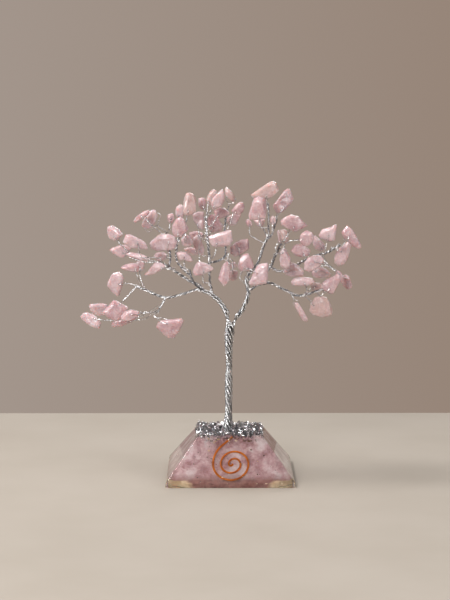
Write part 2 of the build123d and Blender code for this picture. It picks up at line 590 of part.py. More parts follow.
         [(248.3, 283), (252, 277), (255, 270), (258, 265.5), (262, 264), (267.5, 263.3), (268.5, 266),
          (267.8, 280), (266.5, 284.5), (256, 286.5), (250, 286)]),
    Chip("right_inner_chips", "right_top", -0.1, 6, 5, 7, 0, "through", (249.5, 225), (264, 245),
         [(250, 236, -0.1)],
         [(245.3, 222), (247, 219.3), (249.5, 220.3), (252.5, 223.5), (252, 226.5), (249.8, 228),
          (246.5, 226.5)]),
    Chip("right_inner_chips", "right_top", 0.9, -6, 5, 7, 0, "through", (260, 224.5), (267.3, 239), [],
         [(253.5, 221), (260, 219), (265, 219.5), (264.5, 224), (262, 228.3), (257.5, 227)]),
    Chip("right_inner_chips", "right_top_side", -0.4, 8, 6, 6, 0, "through", (273, 222.5), (273.3, 232.5),
         [(272.5, 233.5, -0.4)],
         [(270.3, 218.5), (273, 216), (276, 219), (275.5, 223.5), (272.5, 226.3), (270, 222.5)]),
    # Right second branch
    Chip("right_second_chip_1", "right_second", -0.4, 12, 8, 9, 12, "through", (293, 226.5), (281, 244.5),
         [(286, 238.5, -0.4)],
         [(280.3, 222), (284.5, 217.5), (292, 213.7), (296, 215), (302, 220.5), (307.5, 226.3), (303, 229.3),
          (296, 232.5), (291, 231.8), (284.5, 228.5), (281, 225.5)]),
    Chip("right_second_chip_2", "right_second", -1.6, -10, 6, 8, 0, "through", (303.5, 239.5), (279.6, 247.7),
         [(290, 242, -1.4)],
         [(299.5, 235.5), (302, 232), (307, 231.3), (312.5, 233.5), (314.3, 238), (313, 243), (309, 246.5),
          (303.5, 247), (300, 243)]),
    Chip("right_inner_chips", "right_second", 0.8, -6, 5, 7, 0, "through", (284.5, 240), (278.6, 249.5),
         [(284.5, 251.5, 0.8)],
         [(280.2, 230.5), (284, 229.8), (287, 231.5), (288.8, 238), (288, 242.3), (284.5, 243.5),
          (281.5, 240), (280, 234.5)]),
    Chip("right_inner_chips", "right_second", 2.0, 6, 4, 6, 0, "through", (279.8, 241), (276, 255), [],
         [(276.8, 231), (279, 230), (280.3, 236), (281.5, 242), (280.3, 245.7), (278, 242)]),
    Chip("right_inner_chips", "right_second", -0.6, -8, 6, 8, 0, "through", (283.5, 253), (277.5, 252), [],
         [(280.2, 252.5), (283, 248), (286.5, 251), (290.8, 259), (290.5, 268), (285, 271), (280.5, 267),
          (279.2, 260)]),
    # Outer right branch
    Chip("outer_right_chip_1", "outer_right", -0.5, -8, 6, 8, 12, "through", (329, 235.5), (325, 254.6),
         [(325.3, 250, -0.4)],
         [(318.3, 236.5), (320.5, 232), (322.5, 229.7), (331, 227.7), (335, 224.5), (337, 226), (336.3, 234),
          (335, 242), (333, 243.5), (326, 240.7), (320.5, 239.3)]),
    Chip("outer_right_chip_2", "outer_right", -0.6, 22, -6, 8, 12, "through", (347, 237.5), (336.5, 248.3), [],
         [(342, 232.5), (344, 229.5), (347.5, 225.7), (351.5, 228.5), (356, 236.5), (361, 246.5), (361, 249),
          (358, 250), (354, 248), (348.5, 243.5), (343, 237)]),
    Chip("outer_right_chip_3", "outer_right", 0.6, -10, 6, 8, 12, "through", (342, 252), (332.5, 250.7), [],
         [(345, 244), (350, 240.5), (351.5, 246), (350.5, 252), (347, 261.5), (344, 265), (338, 267),
          (334.5, 263.5), (334, 257), (337.5, 250)]),
    Chip("outer_right_chip_4", "outer_right", -1.4, 8, 10, 10, 0, "through", (314, 261.5), (316, 256.2), [],
         [(304.5, 263), (308, 258.5), (315, 255.8), (321, 256.5), (324, 259.8), (322, 264.5), (317.5, 268.5),
          (309, 273), (304, 270)]),
    Chip("outer_right_chip_5", "outer_right", 1.2, 22, 6, 7, 12, "through", (345, 279.5), (322.5, 255),
         [(326.5, 264, 0.7), (335.5, 271, 1.2)],
         [(341.5, 277), (345.5, 275), (349, 276.5), (351.9, 285.5), (350.5, 289), (347, 290.5), (343.5, 287),
          (341.3, 282)]),
    Chip("outer_right_inner_chips", "outer_right", 1.0, -8, 5, 7, 0, "through", (321.5, 248), (316, 256.2),
         [(321.5, 260, 1.0)],
         [(313.5, 238), (315, 235.8), (320.5, 240.5), (325, 245.5), (325.5, 250), (321, 252.5), (315, 250),
          (312.5, 244)]),
    Chip("outer_right_inner_chips", "outer_right", -0.2, 6, 6, 8, 0, "through", (302.5, 254), (308, 259.3), [],
         [(291, 252), (293.5, 247), (299, 243.5), (306, 247.5), (311, 250.5), (309, 256), (302, 258),
          (295.5, 256.5)]),
    Chip("outer_right_inner_chips", "outer_right", 0.6, -6, 5, 7, 0, "through", (316, 272), (309.5, 258.5), [],
         [(311, 272.5), (316.5, 268.5), (322, 267.8), (328, 270.5), (331.5, 274.5), (329, 278.5),
          (321, 279.5), (313, 277.5)]),
    Chip("outer_right_inner_chips", "outer_right", 0.0, 8, -5, 6, 0, "through", (338.8, 275), (320, 255.4),
         [(318.5, 267.5, 0.1), (327, 266, 0.1)],
         [(335.2, 272.3), (338, 270.6), (342, 273.5), (344.5, 279), (343, 285), (339.5, 283), (336, 277)]),
    Chip("right_inner_chips", "outer_right", 0.6, 6, 6, 8, 0, "through", (289, 272), (275.5, 271.3), [],
         [(283, 272.5), (286, 265.5), (291.5, 262.5), (297.5, 265.5), (304, 271), (303.5, 277.5),
          (295, 278.3), (286.5, 276.8)]),
    # Low right branch
    Chip("low_right_chip_1", "low_right", -1.3, 16, 6, 9, 12, "through", (328, 288), (316, 292.1), [],
         [(321.5, 284), (325, 280.5), (333, 277), (338.5, 274.5), (340, 279), (337.5, 287), (334, 294.3),
          (329, 294.5), (323, 290.5)]),
    Chip("low_right_chip_2", "low_right", -0.6, -6, 8, 9, 0, "through", (305, 282.5), (308, 294.8), [],
         [(290.5, 282.5), (294, 278.5), (304, 277.5), (312.5, 279), (315, 283), (310, 286), (299, 286.3),
          (292.5, 285.7)]),
    Chip("low_right_chip_3", "low_right", 0.5, 6, -5, 9, 0, "through", (314.5, 287.5), (303, 296.4), [],
         [(310.5, 286.5), (314, 283), (321, 283.5), (325.5, 288), (324, 291.5), (316.5, 292), (311, 291)]),
    Chip("low_right_chip_4", "low_right", -0.6, 12, 6, 8, 12, "across", (297, 305.5), (289.5, 293), [],
         [(294, 303.5), (297, 303), (300.5, 306), (303.5, 311.5), (307.5, 318.5), (308.3, 320.5), (306, 322.5),
          (303, 321.5), (299.3, 316.5), (295.5, 309)]),
    Chip("low_right_chip_5", "low_right", 0.0, -16, 6, 9, 12, "through", (315, 305.5), (300, 297.5), [],
         [(309.3, 312), (310.5, 305), (315, 297.8), (321, 296.3), (326.5, 298), (330, 303.5), (332.8, 311),
          (332.5, 314.5), (329.5, 317), (323, 318.5), (313, 315.5)]),
]


def room_to_edge(start, heading, outline, normal):
    """How far a point inside an outline is from its edge in one direction."""
    for corner, after in zip(outline, outline[1:] + outline[:1]):
        side = after - corner
        slant = heading.cross(side).dot(normal)
        if slant == 0:
            continue
        distance = (corner - start).cross(side).dot(normal) / slant
        along = (corner - start).cross(heading).dot(normal) / slant
        if distance > 0 and 0 <= along <= 1:
            return distance
    raise ValueError("the hole lies outside its chip")


@dataclass
class Hung:
    """A chip on its wires, with the hole that it swivels about."""
    chip: Chip
    stone: Solid
    wires: Solid
    hole: Vector
    axis: Vector


# In a pair the two wires lie this share of the way from its middle to its side
lay_share = 0.8

# The most that a chip's faces slip sideways as they narrow, as a share of its reach
slip_most = 0.16


def hang(chip, index):
    """Make a chip and the wire pair that goes through its hole and back to the branch."""
    parent = grown[chip.branch]
    middle_px_x = sum(place[0] for place in chip.outline_px) / len(chip.outline_px)
    middle_px_y = sum(place[1] for place in chip.outline_px) / len(chip.outline_px)
    centre = seen_at(middle_px_x, middle_px_y, chip.layer)
    normal = Vector(0, -1, 0).rotate(Axis.X, chip.lean).rotate(Axis.Z, chip.turn)
    outline = [on_sight(*place, centre, normal) for place in chip.outline_px]
    thickness = chip.thick_px * (centre - eye).length / focal_px
    slip_share = slip_most * cos(index)
    stone = pebble(outline, normal, thickness, slip_share)

    hole = on_sight(*chip.hole_px, centre, normal)
    start = nearest_place(parent.path, *chip.leave_px)
    bends = [seen_at(*place) for place in chip.bends_px]
    towards = bends[-1] if bends else start
    heading = towards - hole
    heading = (heading - normal * heading.dot(normal)).normalized()
    if chip.drilled == "through":
        axis = normal
        spindle = Axis(Vector(), normal)
        swung = [heading.rotate(spindle, angle) for angle in (-chip.swivel, 0, chip.swivel)]
        reach = max(room_to_edge(hole, swing, outline, normal) for swing in swung)
        spread_share = 0.8
        sides = [thickness * half, thickness * half]
    else:
        axis = normal.cross(heading)
        ahead = [corner - hole for corner in outline if (corner - hole).dot(heading) > 0]
        reach = max(corner.dot(heading) for corner in ahead)
        spread_share = 1.0
        sides = []
        for way in (1, -1):
            level = room_to_edge(hole, axis * way, outline, normal)
            sides.append(max([level] + [corner.dot(axis) * way for corner in ahead]))
    wire_radius = wire_diameter * half
    near, far = (axis * (side + wire_radius + face_gap) for side in sides)
    crotch = hole + heading * (reach + crotch_gap)
    turn_off = heading * (reach * spread_share)
    grip = heading * pair_grip
    beside = axis * (pair_radius - wire_radius) * lay_share
    loop_line = FilletPolyline(
        crotch + grip + beside, crotch + beside, hole + turn_off + near, hole + near,
        hole - far, hole + turn_off - far, crotch - beside, crotch + grip - beside,
        radius=[leg_bend, leg_bend, loop_bend, loop_bend, leg_bend, leg_bend])
    pair_line = bent_path([start] + bends + [crotch + heading * crotch_lead, crotch])
    pair = tube(pair_line, pair_radius) - parent.room
    wires = pair + tube(Wire(loop_line.edges()), wire_radius)
    drill = extrude(Plane(hole, z_dir=axis) * Circle(chip_hole_diameter * half), amount=overrun, both=True)
    return Hung(chip, stone - drill, wires, hole, axis)


hung = [hang(chip, index) for index, chip in enumerate(chips)]

# Cavities of the casting, each as large as what it holds

foot_room = Pos(foot.X, foot.Y, base_height - trunk_foot_depth) * Cylinder(
    trunk_foot_radius + casting_gap, overrun, align=(Align.CENTER, Align.CENTER, Align.MIN))
spiral_room = tube(spiral_line, spiral_wire_diameter * half + casting_gap)
casting = casting - mass - foot_room - spiral_room

nodes = {
    "resin_base": [casting],
    "copper_spiral": [spiral],
    "crushed_quartz": [mass],
    "metal_shavings": curls,
    "trunk_wires": [trunk],
}
for growth in grown.values():
    nodes.setdefault(growth.node, []).append(growth.solid)
for one in hung:
    nodes[grown[one.chip.branch].node].append(one.wires)
    nodes.setdefault(one.chip.name, []).append(one.stone)

for name, shapes in nodes.items():
    solids = [solid for shape in shapes for solid in shape.solids()]
    export_step(Compound(solids), f"parts/{name}.step")
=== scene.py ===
# %% [markdown]
# # A gem tree on a cast pyramid
# Drilled chips of rose quartz hang on doubled silver wire. The wires are twisted together, first in
# pairs, then into branches, limbs and one trunk, whose foot is cast into a pyramid of clear resin.
# The solid model gives every place and size. This script only dresses it, so it starts by loading it.

# %% Load the solid model
import bpy
import bmesh
import heapq
import json
import random
from math import ceil, cos, pi, radians, sin
import numpy as np
from mathutils import Matrix, Vector, noise
from mathutils.kdtree import KDTree

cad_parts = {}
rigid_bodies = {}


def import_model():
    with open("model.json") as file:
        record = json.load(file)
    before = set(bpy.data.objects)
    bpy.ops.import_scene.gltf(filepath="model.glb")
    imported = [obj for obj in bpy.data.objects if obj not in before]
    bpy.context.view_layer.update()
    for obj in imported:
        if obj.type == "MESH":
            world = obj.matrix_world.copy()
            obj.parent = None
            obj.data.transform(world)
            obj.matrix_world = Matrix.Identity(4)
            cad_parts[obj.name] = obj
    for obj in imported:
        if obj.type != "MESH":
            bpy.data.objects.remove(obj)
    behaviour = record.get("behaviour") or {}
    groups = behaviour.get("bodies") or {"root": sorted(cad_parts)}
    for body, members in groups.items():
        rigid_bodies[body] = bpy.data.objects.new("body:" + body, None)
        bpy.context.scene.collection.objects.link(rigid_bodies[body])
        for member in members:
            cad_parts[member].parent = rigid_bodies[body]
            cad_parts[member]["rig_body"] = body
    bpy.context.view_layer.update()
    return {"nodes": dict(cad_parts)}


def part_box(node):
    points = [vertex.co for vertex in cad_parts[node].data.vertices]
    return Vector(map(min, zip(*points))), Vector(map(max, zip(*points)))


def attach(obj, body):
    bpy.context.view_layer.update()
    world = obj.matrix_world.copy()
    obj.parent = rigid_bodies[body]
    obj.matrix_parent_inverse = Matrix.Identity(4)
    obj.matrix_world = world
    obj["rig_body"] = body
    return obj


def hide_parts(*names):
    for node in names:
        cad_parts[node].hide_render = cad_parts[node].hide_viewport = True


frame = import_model()
MM = 0.001
random.seed(11)

# %% [markdown]
# ## Camera
# The ornament is about 15 cm high and is seen from about a metre away, a little from above. A long
# lens keeps the upright lines upright. The pyramid's edges are square to each other, so the way they run
# together in a picture gives the camera's place and lens.

# %% Camera
PICTURE = (450, 600)
FOCAL_PX = 1826
SENSOR = 36
CAMERA_PLACE = (-0.00674, -0.9237, 0.2014)
LOOKS_DOWN = 6.85
LOOKS_RIGHT = 0.26


def placed(name, data):
    """A new object in the scene, made of this data."""
    thing = bpy.data.objects.new(name, data)
    bpy.context.scene.collection.objects.link(thing)
    return thing


camera_data = bpy.data.cameras.new("camera")
camera_data.sensor_fit = "VERTICAL"
camera_data.sensor_height = SENSOR
camera_data.lens = FOCAL_PX * SENSOR / PICTURE[1]
camera = placed("camera", camera_data)
camera.location = CAMERA_PLACE
camera.rotation_euler = (radians(90 - LOOKS_DOWN), 0, radians(-LOOKS_RIGHT))
bpy.context.scene.camera = camera
print("lens", round(camera_data.lens, 1))

# %% [markdown]
# ## Finishes
# A finish is a small network of nodes. The first helper makes the shader and sets the numbers that are
# the same all over the surface on its own sockets. The others add patterns and mix colours. All patterns
# live in the object's own space, so that they stay on the surface when a chip swings.

# %% Helpers for finishes
def new_finish(name, **numbers):
    """A material with a principled shader; the keywords set its sockets."""
    material = bpy.data.materials.new(name)
    material.use_nodes = True
    shader = material.node_tree.nodes["Principled BSDF"]
    for socket, value in numbers.items():
        shader.inputs[socket.replace("_", " ")].default_value = value
    return material, shader


def own_place(material):
    """Where a point lies in the object's own space."""
    nodes = material.node_tree.nodes
    place = nodes.get("place")
    if place is None:
        place = nodes.new("ShaderNodeTexCoord")
        place.name = "place"
    return place.outputs["Object"]


def own_axes(material):
    """The same as three numbers, X, Y and Z."""
    split = material.node_tree.nodes.new("ShaderNodeSeparateXYZ")
    material.node_tree.links.new(own_place(material), split.inputs["Vector"])
    return split.outputs


def grain(material, size_mm, detail=2.0, roughness=0.5, distortion=0.0):
    """Noise whose features are about this large."""
    pattern = material.node_tree.nodes.new("ShaderNodeTexNoise")
    for socket, number in (("Scale", 1 / (size_mm * MM)), ("Detail", detail),
                           ("Roughness", roughness), ("Distortion", distortion)):
        pattern.inputs[socket].default_value = number
    material.node_tree.links.new(own_place(material), pattern.inputs["Vector"])
    return pattern.outputs["Fac"]


def maths(material, operation, *values):
    """A sum, product and the like of one or two value sockets."""
    node = material.node_tree.nodes.new("ShaderNodeMath")
    node.operation = operation
    for socket, value in zip(node.inputs, values):
        material.node_tree.links.new(value, socket)
    return node.outputs["Value"]


def ramp(material, value, *stops):
    """Colours along a value from 0 to 1: (place, colour) pairs."""
    node = material.node_tree.nodes.new("ShaderNodeValToRGB")
    marks = node.color_ramp.elements
    for index, (place, colour) in enumerate(stops):
        mark = marks[index] if index < len(marks) else marks.new(place)
        mark.position = place
        mark.color = (*colour, 1)
    material.node_tree.links.new(value, node.inputs["Fac"])
    return node.outputs["Color"]


def blend_colours(material, share, first, second):
    """Mix two colour sockets by a value socket or a number."""
    node = material.node_tree.nodes.new("ShaderNodeMix")
    node.data_type = "RGBA"
    links = material.node_tree.links
    if isinstance(share, float):
        node.inputs["Factor"].default_value = share
    else:
        links.new(share, node.inputs["Factor"])
    links.new(first, node.inputs["A"])
    links.new(second, node.inputs["B"])
    return node.outputs["Result"]


def spread(material, value, low, high, start=0.3, end=0.7):
    """Stretch a noise value to a range."""
    node = material.node_tree.nodes.new("ShaderNodeMapRange")
    for socket, number in (("From Min", start), ("From Max", end), ("To Min", low), ("To Max", high)):
        node.inputs[socket].default_value = number
    material.node_tree.links.new(value, node.inputs["Value"])
    return node.outputs["Result"]


def relief(material, shader, value, depth_mm, strength=0.5):
    """A fine bump from a value."""
    node = material.node_tree.nodes.new("ShaderNodeBump")
    node.inputs["Strength"].default_value = strength
    node.inputs["Distance"].default_value = depth_mm * MM
    material.node_tree.links.new(value, node.inputs["Height"])
    material.node_tree.links.new(node.outputs["Normal"], shader.inputs["Normal"])


# %% [markdown]
# ## Floor, backdrop and light
# A pale matt table and, well behind its back edge, a plain warm-grey wall, both only there to be stood
# on and seen. The wall is far enough away that the ornament can be walked round. Four soft lamps and an
# even sky light the ornament plainly: the strongest stand on the left, so that the chips' left edges
# shine and the wires show light and dark strands. The lamps hardly reach the wall, so it shows its colour
# by itself to the camera, to metal and to glass, and sends no light of its own to anything else.

# %% Floor and backdrop
def stage_sheet(name, corners, material):
    """One flat sheet of the stage."""
    mesh = bpy.data.meshes.new(name)
    mesh.from_pydata(corners, [], [(0, 1, 2, 3)])
    mesh.materials.append(material)
    placed(name, mesh)


def table_finish(colour, colour_far):
    """A matt surface with slow clouds in its colour."""
    material, shader = new_finish("table_paint", Roughness=0.8)
    tint = ramp(material, grain(material, 60, 3), (0.35, colour), (0.65, colour_far))
    material.node_tree.links.new(tint, shader.inputs["Base Color"])
    return material


def wall_finish(left, right, half_width):
    """A wall painted a little lighter on the left, as painted light, which shows even where no lamp
    reaches.
    """
    material, shader = new_finish("wall_paint", Roughness=0.8)
    tree = material.node_tree
    across = spread(material, own_axes(material)["X"], 0.0, 1.0, -half_width, half_width)
    colour = ramp(material, across, (0.0, left), (1.0, right))
    tree.links.new(colour, shader.inputs["Base Color"])
    rays = tree.nodes.new("ShaderNodeLightPath")
    seen = rays.outputs["Is Camera Ray"]
    for kind in ("Is Glossy Ray", "Is Transmission Ray"):
        seen = maths(material, "MAXIMUM", seen, rays.outputs[kind])
    glow = tree.nodes.new("ShaderNodeEmission")
    tree.links.new(colour, glow.inputs["Color"])
    mix = tree.nodes.new("ShaderNodeMixShader")
    tree.links.new(seen, mix.inputs["Fac"])
    tree.links.new(shader.outputs["BSDF"], mix.inputs[1])
    tree.links.new(glow.outputs["Emission"], mix.inputs[2])
    tree.links.new(mix.outputs["Shader"], tree.nodes["Material Output"].inputs["Surface"])
    material.cycles.emission_sampling = "NONE"
    return material


TABLE_BACK = 0.175
WALL_Y = 1.5
REACH = 3.0
FLOOR_Z = -0.0001
WALL_LIGHT_HALF_WIDTH = 0.38
table_paint = table_finish((0.458, 0.402, 0.342), (0.434, 0.378, 0.318))
# Painted light: the wall runs from the lighter colour on the left to the darker one on the right.
wall_paint = wall_finish((0.372, 0.310, 0.270), (0.302, 0.229, 0.183), WALL_LIGHT_HALF_WIDTH)
for name, edge, far_edge, paint in (
        ("table", (-REACH, FLOOR_Z), (TABLE_BACK, FLOOR_Z), table_paint),
        ("table_apron", (TABLE_BACK, FLOOR_Z), (TABLE_BACK, -REACH), table_paint),
        ("wall", (WALL_Y, -REACH), (WALL_Y, REACH), wall_paint)):
    stage_sheet(name, [(-REACH, *edge), (REACH, *edge), (REACH, *far_edge), (-REACH, *far_edge)], paint)


# %% Lamps and sky
def soft_lamp(name, place, target, size, power):
    """A square lamp that faces a point."""
    data = bpy.data.lights.new(name, "AREA")
    data.size = size
    data.energy = power
    lamp = placed(name, data)
    lamp.location = place
    lamp.rotation_euler = (Vector(target) - Vector(place)).to_track_quat("-Z", "Y").to_euler()


AIM = (0, 0, 0.08)
LAMPS = {"lamp_left": ((-0.44, -0.01, 0.85), 0.34, 6.4),
         "lamp_front": ((-0.45, -1.0, 0.55), 0.45, 9),
         "lamp_right": ((0.8, -0.6, 0.45), 0.4, 3),
         "lamp_back": ((0.4, 1.1, 0.8), 0.6, 4)}
SKY_COLOUR = (1.0, 0.97, 0.94, 1)
SKY_STRENGTH = 0.2
for name, (place, size, power) in LAMPS.items():
    soft_lamp(name, place, AIM, size, power)
sky = bpy.data.worlds.new("sky")
sky.use_nodes = True
sky.node_tree.nodes["Background"].inputs["Color"].default_value = SKY_COLOUR
sky.node_tree.nodes["Background"].inputs["Strength"].default_value = SKY_STRENGTH
bpy.context.scene.world = sky
bpy.context.scene.view_settings.view_transform = "Standard"
print("stage and lamps set")

# %% [markdown]
# ## The finishes of the ornament
# Rose quartz is milky: light goes a few millimetres into it, and its pink is uneven, with white veils
# and here and there a rusty stain. Subsurface light with a cloudy colour gives that. Three tints keep
# neighbouring chips apart. Wire, copper and shavings are bare metal, so their look is mostly what they
# reflect, with a little unevenness in their polish.

# %% Rose quartz
def rose_quartz(name, pale, deep, stain, stain_from):
    """Milky pink stone with veils and cracks; stains are more where stain_from is lower."""
    material, shader = new_finish(
        name, IOR=1.54, Subsurface_Weight=0.9, Subsurface_Scale=0.0032,
        Subsurface_Radius=(1.0, 0.6, 0.5), Coat_Weight=0.3, Coat_Roughness=0.06)
    clouds = ramp(material, grain(material, 4.5, 4, 0.6, 0.6), (0.34, deep), (0.66, pale))
    veils = ramp(material, grain(material, 2.2, 5, 0.65, 1.2), (0.56, (0, 0, 0)), (0.72, (0.5, 0.5, 0.5)))
    white = ramp(material, grain(material, 30), (0.0, (0.82, 0.74, 0.74)), (1.0, (0.76, 0.67, 0.68)))
    body = blend_colours(material, veils, clouds, white)
    cracks = ramp(material, grain(material, 6, 3, 0.55, 2.0),
                  (0.475, (0, 0, 0)), (0.5, (0.4, 0.4, 0.4)), (0.525, (0, 0, 0)))
    body = blend_colours(material, cracks, body, white)
    warm = ramp(material, grain(material, 9, 2),
                (stain_from, (0, 0, 0)), (stain_from + 0.16, (0.7, 0.7, 0.7)))
    rust = ramp(material, grain(material, 3, 3), (0.3, stain), (0.7, pale))
    colour = blend_colours(material, warm, body, rust)
    links = material.node_tree.links
    links.new(colour, shader.inputs["Base Color"])
    links.new(spread(material, grain(material, 1.6, 3), 0.12, 0.34), shader.inputs["Roughness"])
    relief(material, shader, grain(material, 0.9, 3), 0.08, 0.25)
    return material


quartz_finishes = [
    rose_quartz("quartz_pale", (0.67, 0.52, 0.535), (0.52, 0.36, 0.38), (0.58, 0.40, 0.37), 0.62),
    rose_quartz("quartz_rosy", (0.62, 0.45, 0.465), (0.47, 0.29, 0.31), (0.55, 0.35, 0.33), 0.60),
    rose_quartz("quartz_peach", (0.64, 0.49, 0.475), (0.52, 0.36, 0.345), (0.58, 0.40, 0.34), 0.56),
]


# %% Metals
def bare_metal(name, dark, light, rough, smooth, patch_mm, metallic=1.0, uneven=0.3):
    """Metal whose colour and polish change from patch to patch."""
    material, shader = new_finish(name, Metallic=metallic)
    links = material.node_tree.links
    links.new(ramp(material, grain(material, patch_mm, 3), (0.35, dark), (0.65, light)),
              shader.inputs["Base Color"])
    polish = spread(material, grain(material, patch_mm * 0.6, 2), smooth, rough)
    links.new(polish, shader.inputs["Roughness"])
    relief(material, shader, grain(material, 0.25, 2), 0.02, uneven)
    return material


silver = bare_metal("silver_wire", (0.45, 0.45, 0.46), (0.97, 0.97, 0.98), 0.26, 0.12, 1.1)
# The duller silver is a darker copy of the wire's finish: partly tarnish, partly painted shade for dark
# strands.
dull_and_shaded_silver = bare_metal("silver_wire_dull_and_painted_shade", (0.16, 0.16, 0.17), (0.40, 0.40, 0.42), 0.34, 0.2, 1.5)
# The silver inside is painted near black: painted shade in the gaps between the trunk's bundles.
painted_shade_silver = bare_metal("silver_inside_painted_shade", (0.05, 0.05, 0.05), (0.14, 0.14, 0.14), 0.5, 0.35, 1.5)
copper = bare_metal("copper", (0.62, 0.16, 0.015), (0.82, 0.27, 0.03), 0.4, 0.28, 4, 0.75, 0.05)
shavings_metal = bare_metal("shavings", (0.75, 0.76, 0.78), (0.96, 0.96, 0.98), 0.22, 0.08, 1.2)
# A dark copy of the shavings' metal, as painted shade.
shavings_painted_shade = bare_metal("shavings_painted_shade", (0.03, 0.03, 0.035), (0.20, 0.20, 0.22), 0.36, 0.2, 1.2)


# %% [markdown]
# The resin is clear, a very little yellow, and not equally smooth everywhere. The crushed stone under it
# gets its look from three patterns: clouds some millimetres wide, cells that stand for gravel, and a fine
# grain for sand. Towards the bottom it is browner and darker. The corners of the lip are a pale amber:
# partly the resin's own yellow, and partly painted light on the mass's cut corners, which lie in shade.

# %% Resin and what is in it
clear_resin, resin_shader = new_finish("clear_resin", Transmission_Weight=1.0, IOR=1.5)
clear_links = clear_resin.node_tree.links
clear_tint = ramp(clear_resin, grain(clear_resin, 12, 2),
                  (0.3, (1.0, 0.985, 0.95)), (0.7, (1.0, 0.97, 0.955)))
clear_haze = spread(clear_resin, grain(clear_resin, 3, 4), 0.0, 0.05)
clear_links.new(clear_tint, resin_shader.inputs["Base Color"])
clear_links.new(clear_haze, resin_shader.inputs["Roughness"])


def stone_cells(material, size_mm):
    """A random value for each cell of a pattern of stones of about this size."""
    tree = material.node_tree
    cells = tree.nodes.new("ShaderNodeTexVoronoi")
    cells.inputs["Scale"].default_value = 1 / (size_mm * MM)
    cells.inputs["Randomness"].default_value = 1.0
    tree.links.new(own_place(material), cells.inputs["Vector"])
    split = tree.nodes.new("ShaderNodeSeparateColor")
    tree.links.new(cells.outputs["Color"], split.inputs["Color"])
    return split.outputs["Red"]


AMBER_FROM = 0.052
AMBER_BLUR = 0.0025
BROWN_LOW_HEIGHTS = (0.002, 0.0058)
AMBER_HEIGHTS = (0.0024, 0.0028)


def crushed_quartz_finish(name, white, pale, mid, deep):
    """Mauve stones with white veils, browner towards the bottom, and a pale amber in the corners of the
    lip that is partly painted light.
    """
    material, shader = new_finish(name, IOR=1.5, Subsurface_Weight=0.3, Subsurface_Scale=0.0015,
                                  Subsurface_Radius=(1.0, 0.7, 0.7), Roughness=0.5)
    clouds = ramp(material, grain(material, 9, 4, 0.62, 0.3),
                  (0.39, deep), (0.46, mid), (0.53, pale), (0.60, white))
    gravel = ramp(material, stone_cells(material, 2.6),
                  (0.0, deep), (0.35, mid), (0.75, pale), (1.0, white))
    stones = blend_colours(material, 0.22, clouds, gravel)
    sand = ramp(material, grain(material, 1.1, 3, 0.6), (0.36, mid), (0.62, white))
    stones = blend_colours(material, 0.2, stones, sand)
    # Darker and browner towards the bottom of the mass.
    brown_low = ramp(material, grain(material, 2, 3), (0.3, (0.20, 0.065, 0.045)), (0.7, (0.42, 0.18, 0.14)))
    axes = own_axes(material)
    browned_low = blend_colours(material, spread(material, axes["Z"], 0.9, 0.0, *BROWN_LOW_HEIGHTS), stones, brown_low)
    reach = maths(material, "ADD", *(maths(material, "ABSOLUTE", axes[axis]) for axis in ("X", "Y")))
    # Painted light: pale amber mixed into the cut corners of the lip, which lie in shade; partly the
    # resin's own yellow.
    corner = maths(material, "MULTIPLY",
                   spread(material, reach, 0.0, 0.9, AMBER_FROM - AMBER_BLUR, AMBER_FROM),
                   spread(material, axes["Z"], 1.0, 0.0, *AMBER_HEIGHTS))
    amber_and_painted_light = ramp(material, grain(material, 2.5, 3), (0.3, (0.74, 0.55, 0.33)), (0.7, (0.90, 0.74, 0.50)))
    colour = blend_colours(material, corner, browned_low, amber_and_painted_light)
    material.node_tree.links.new(colour, shader.inputs["Base Color"])
    relief(material, shader, grain(material, 0.8, 3), 0.15, 0.4)
    return material


quartz_mass_finish = crushed_quartz_finish(
    "crushed_quartz", (0.93, 0.82, 0.83), (0.78, 0.56, 0.585), (0.59, 0.33, 0.35), (0.40, 0.17, 0.18))


def speck_finish(name, first, second, **numbers):
    """A finish for bodies of a millimetre or less, in two colours."""
    material, shader = new_finish(name, **numbers)
    tint = ramp(material, grain(material, 0.6), (0.4, first), (0.6, second))
    material.node_tree.links.new(tint, shader.inputs["Base Color"])
    return material


bubble_finish = speck_finish("air_bubble", (0.85, 0.80, 0.76), (0.95, 0.93, 0.9),
                             Metallic=0.8, Roughness=0.12)
fleck_finish = speck_finish("brown_fleck", (0.10, 0.04, 0.03), (0.30, 0.16, 0.08), Roughness=0.35)
bright_fleck_finish = speck_finish("gold_fleck", (0.80, 0.55, 0.30), (1.0, 0.90, 0.75), Roughness=0.3)
print("finishes made", len(bpy.data.materials))

# %% [markdown]
# ## Reading the wires' lines
# In the solid model each wire is a plain round tube. Its surface knows its own line: from any point of
# a tube, one radius inwards, against the surface's direction, lies the middle. Points of one ring share
# the same middle. Linked by the mesh's edges, the middles give the line, wherever the tube bends.

# %% Read lines from tubes
def numbers_of(rows, attribute, width, kind=np.float32):
    """One attribute of every point, edge or corner of a mesh, in a row each."""
    values = np.empty(len(rows) * width, kind)
    rows.foreach_get(attribute, values)
    return values.reshape(-1, width)


def surface(node):
    """Points and directions of a node's surface in millimetres, with its edges and triangles."""
    mesh = frame["nodes"][node].data
    places = numbers_of(mesh.vertices, "co", 3).astype(float) / MM
    normals = np.zeros_like(places)
    owners = numbers_of(mesh.loops, "vertex_index", 1, np.int32).ravel()
    normals[owners] = numbers_of(mesh.corner_normals, "vector", 3)
    triangles = [tuple(face.vertices) for face in mesh.polygons]
    return places, normals, numbers_of(mesh.edges, "vertices", 2, np.int32), triangles


def groups_of(count, pairs):
    """A number for each of so many things, the same for things that pairs join."""
    leader = list(range(count))

    def lead(index):
        while leader[index] != index:
            leader[index] = leader[leader[index]]
            index = leader[index]
        return index

    for first, second in pairs.tolist():
        leader[lead(first)] = lead(second)
    return [lead(index) for index in range(count)]


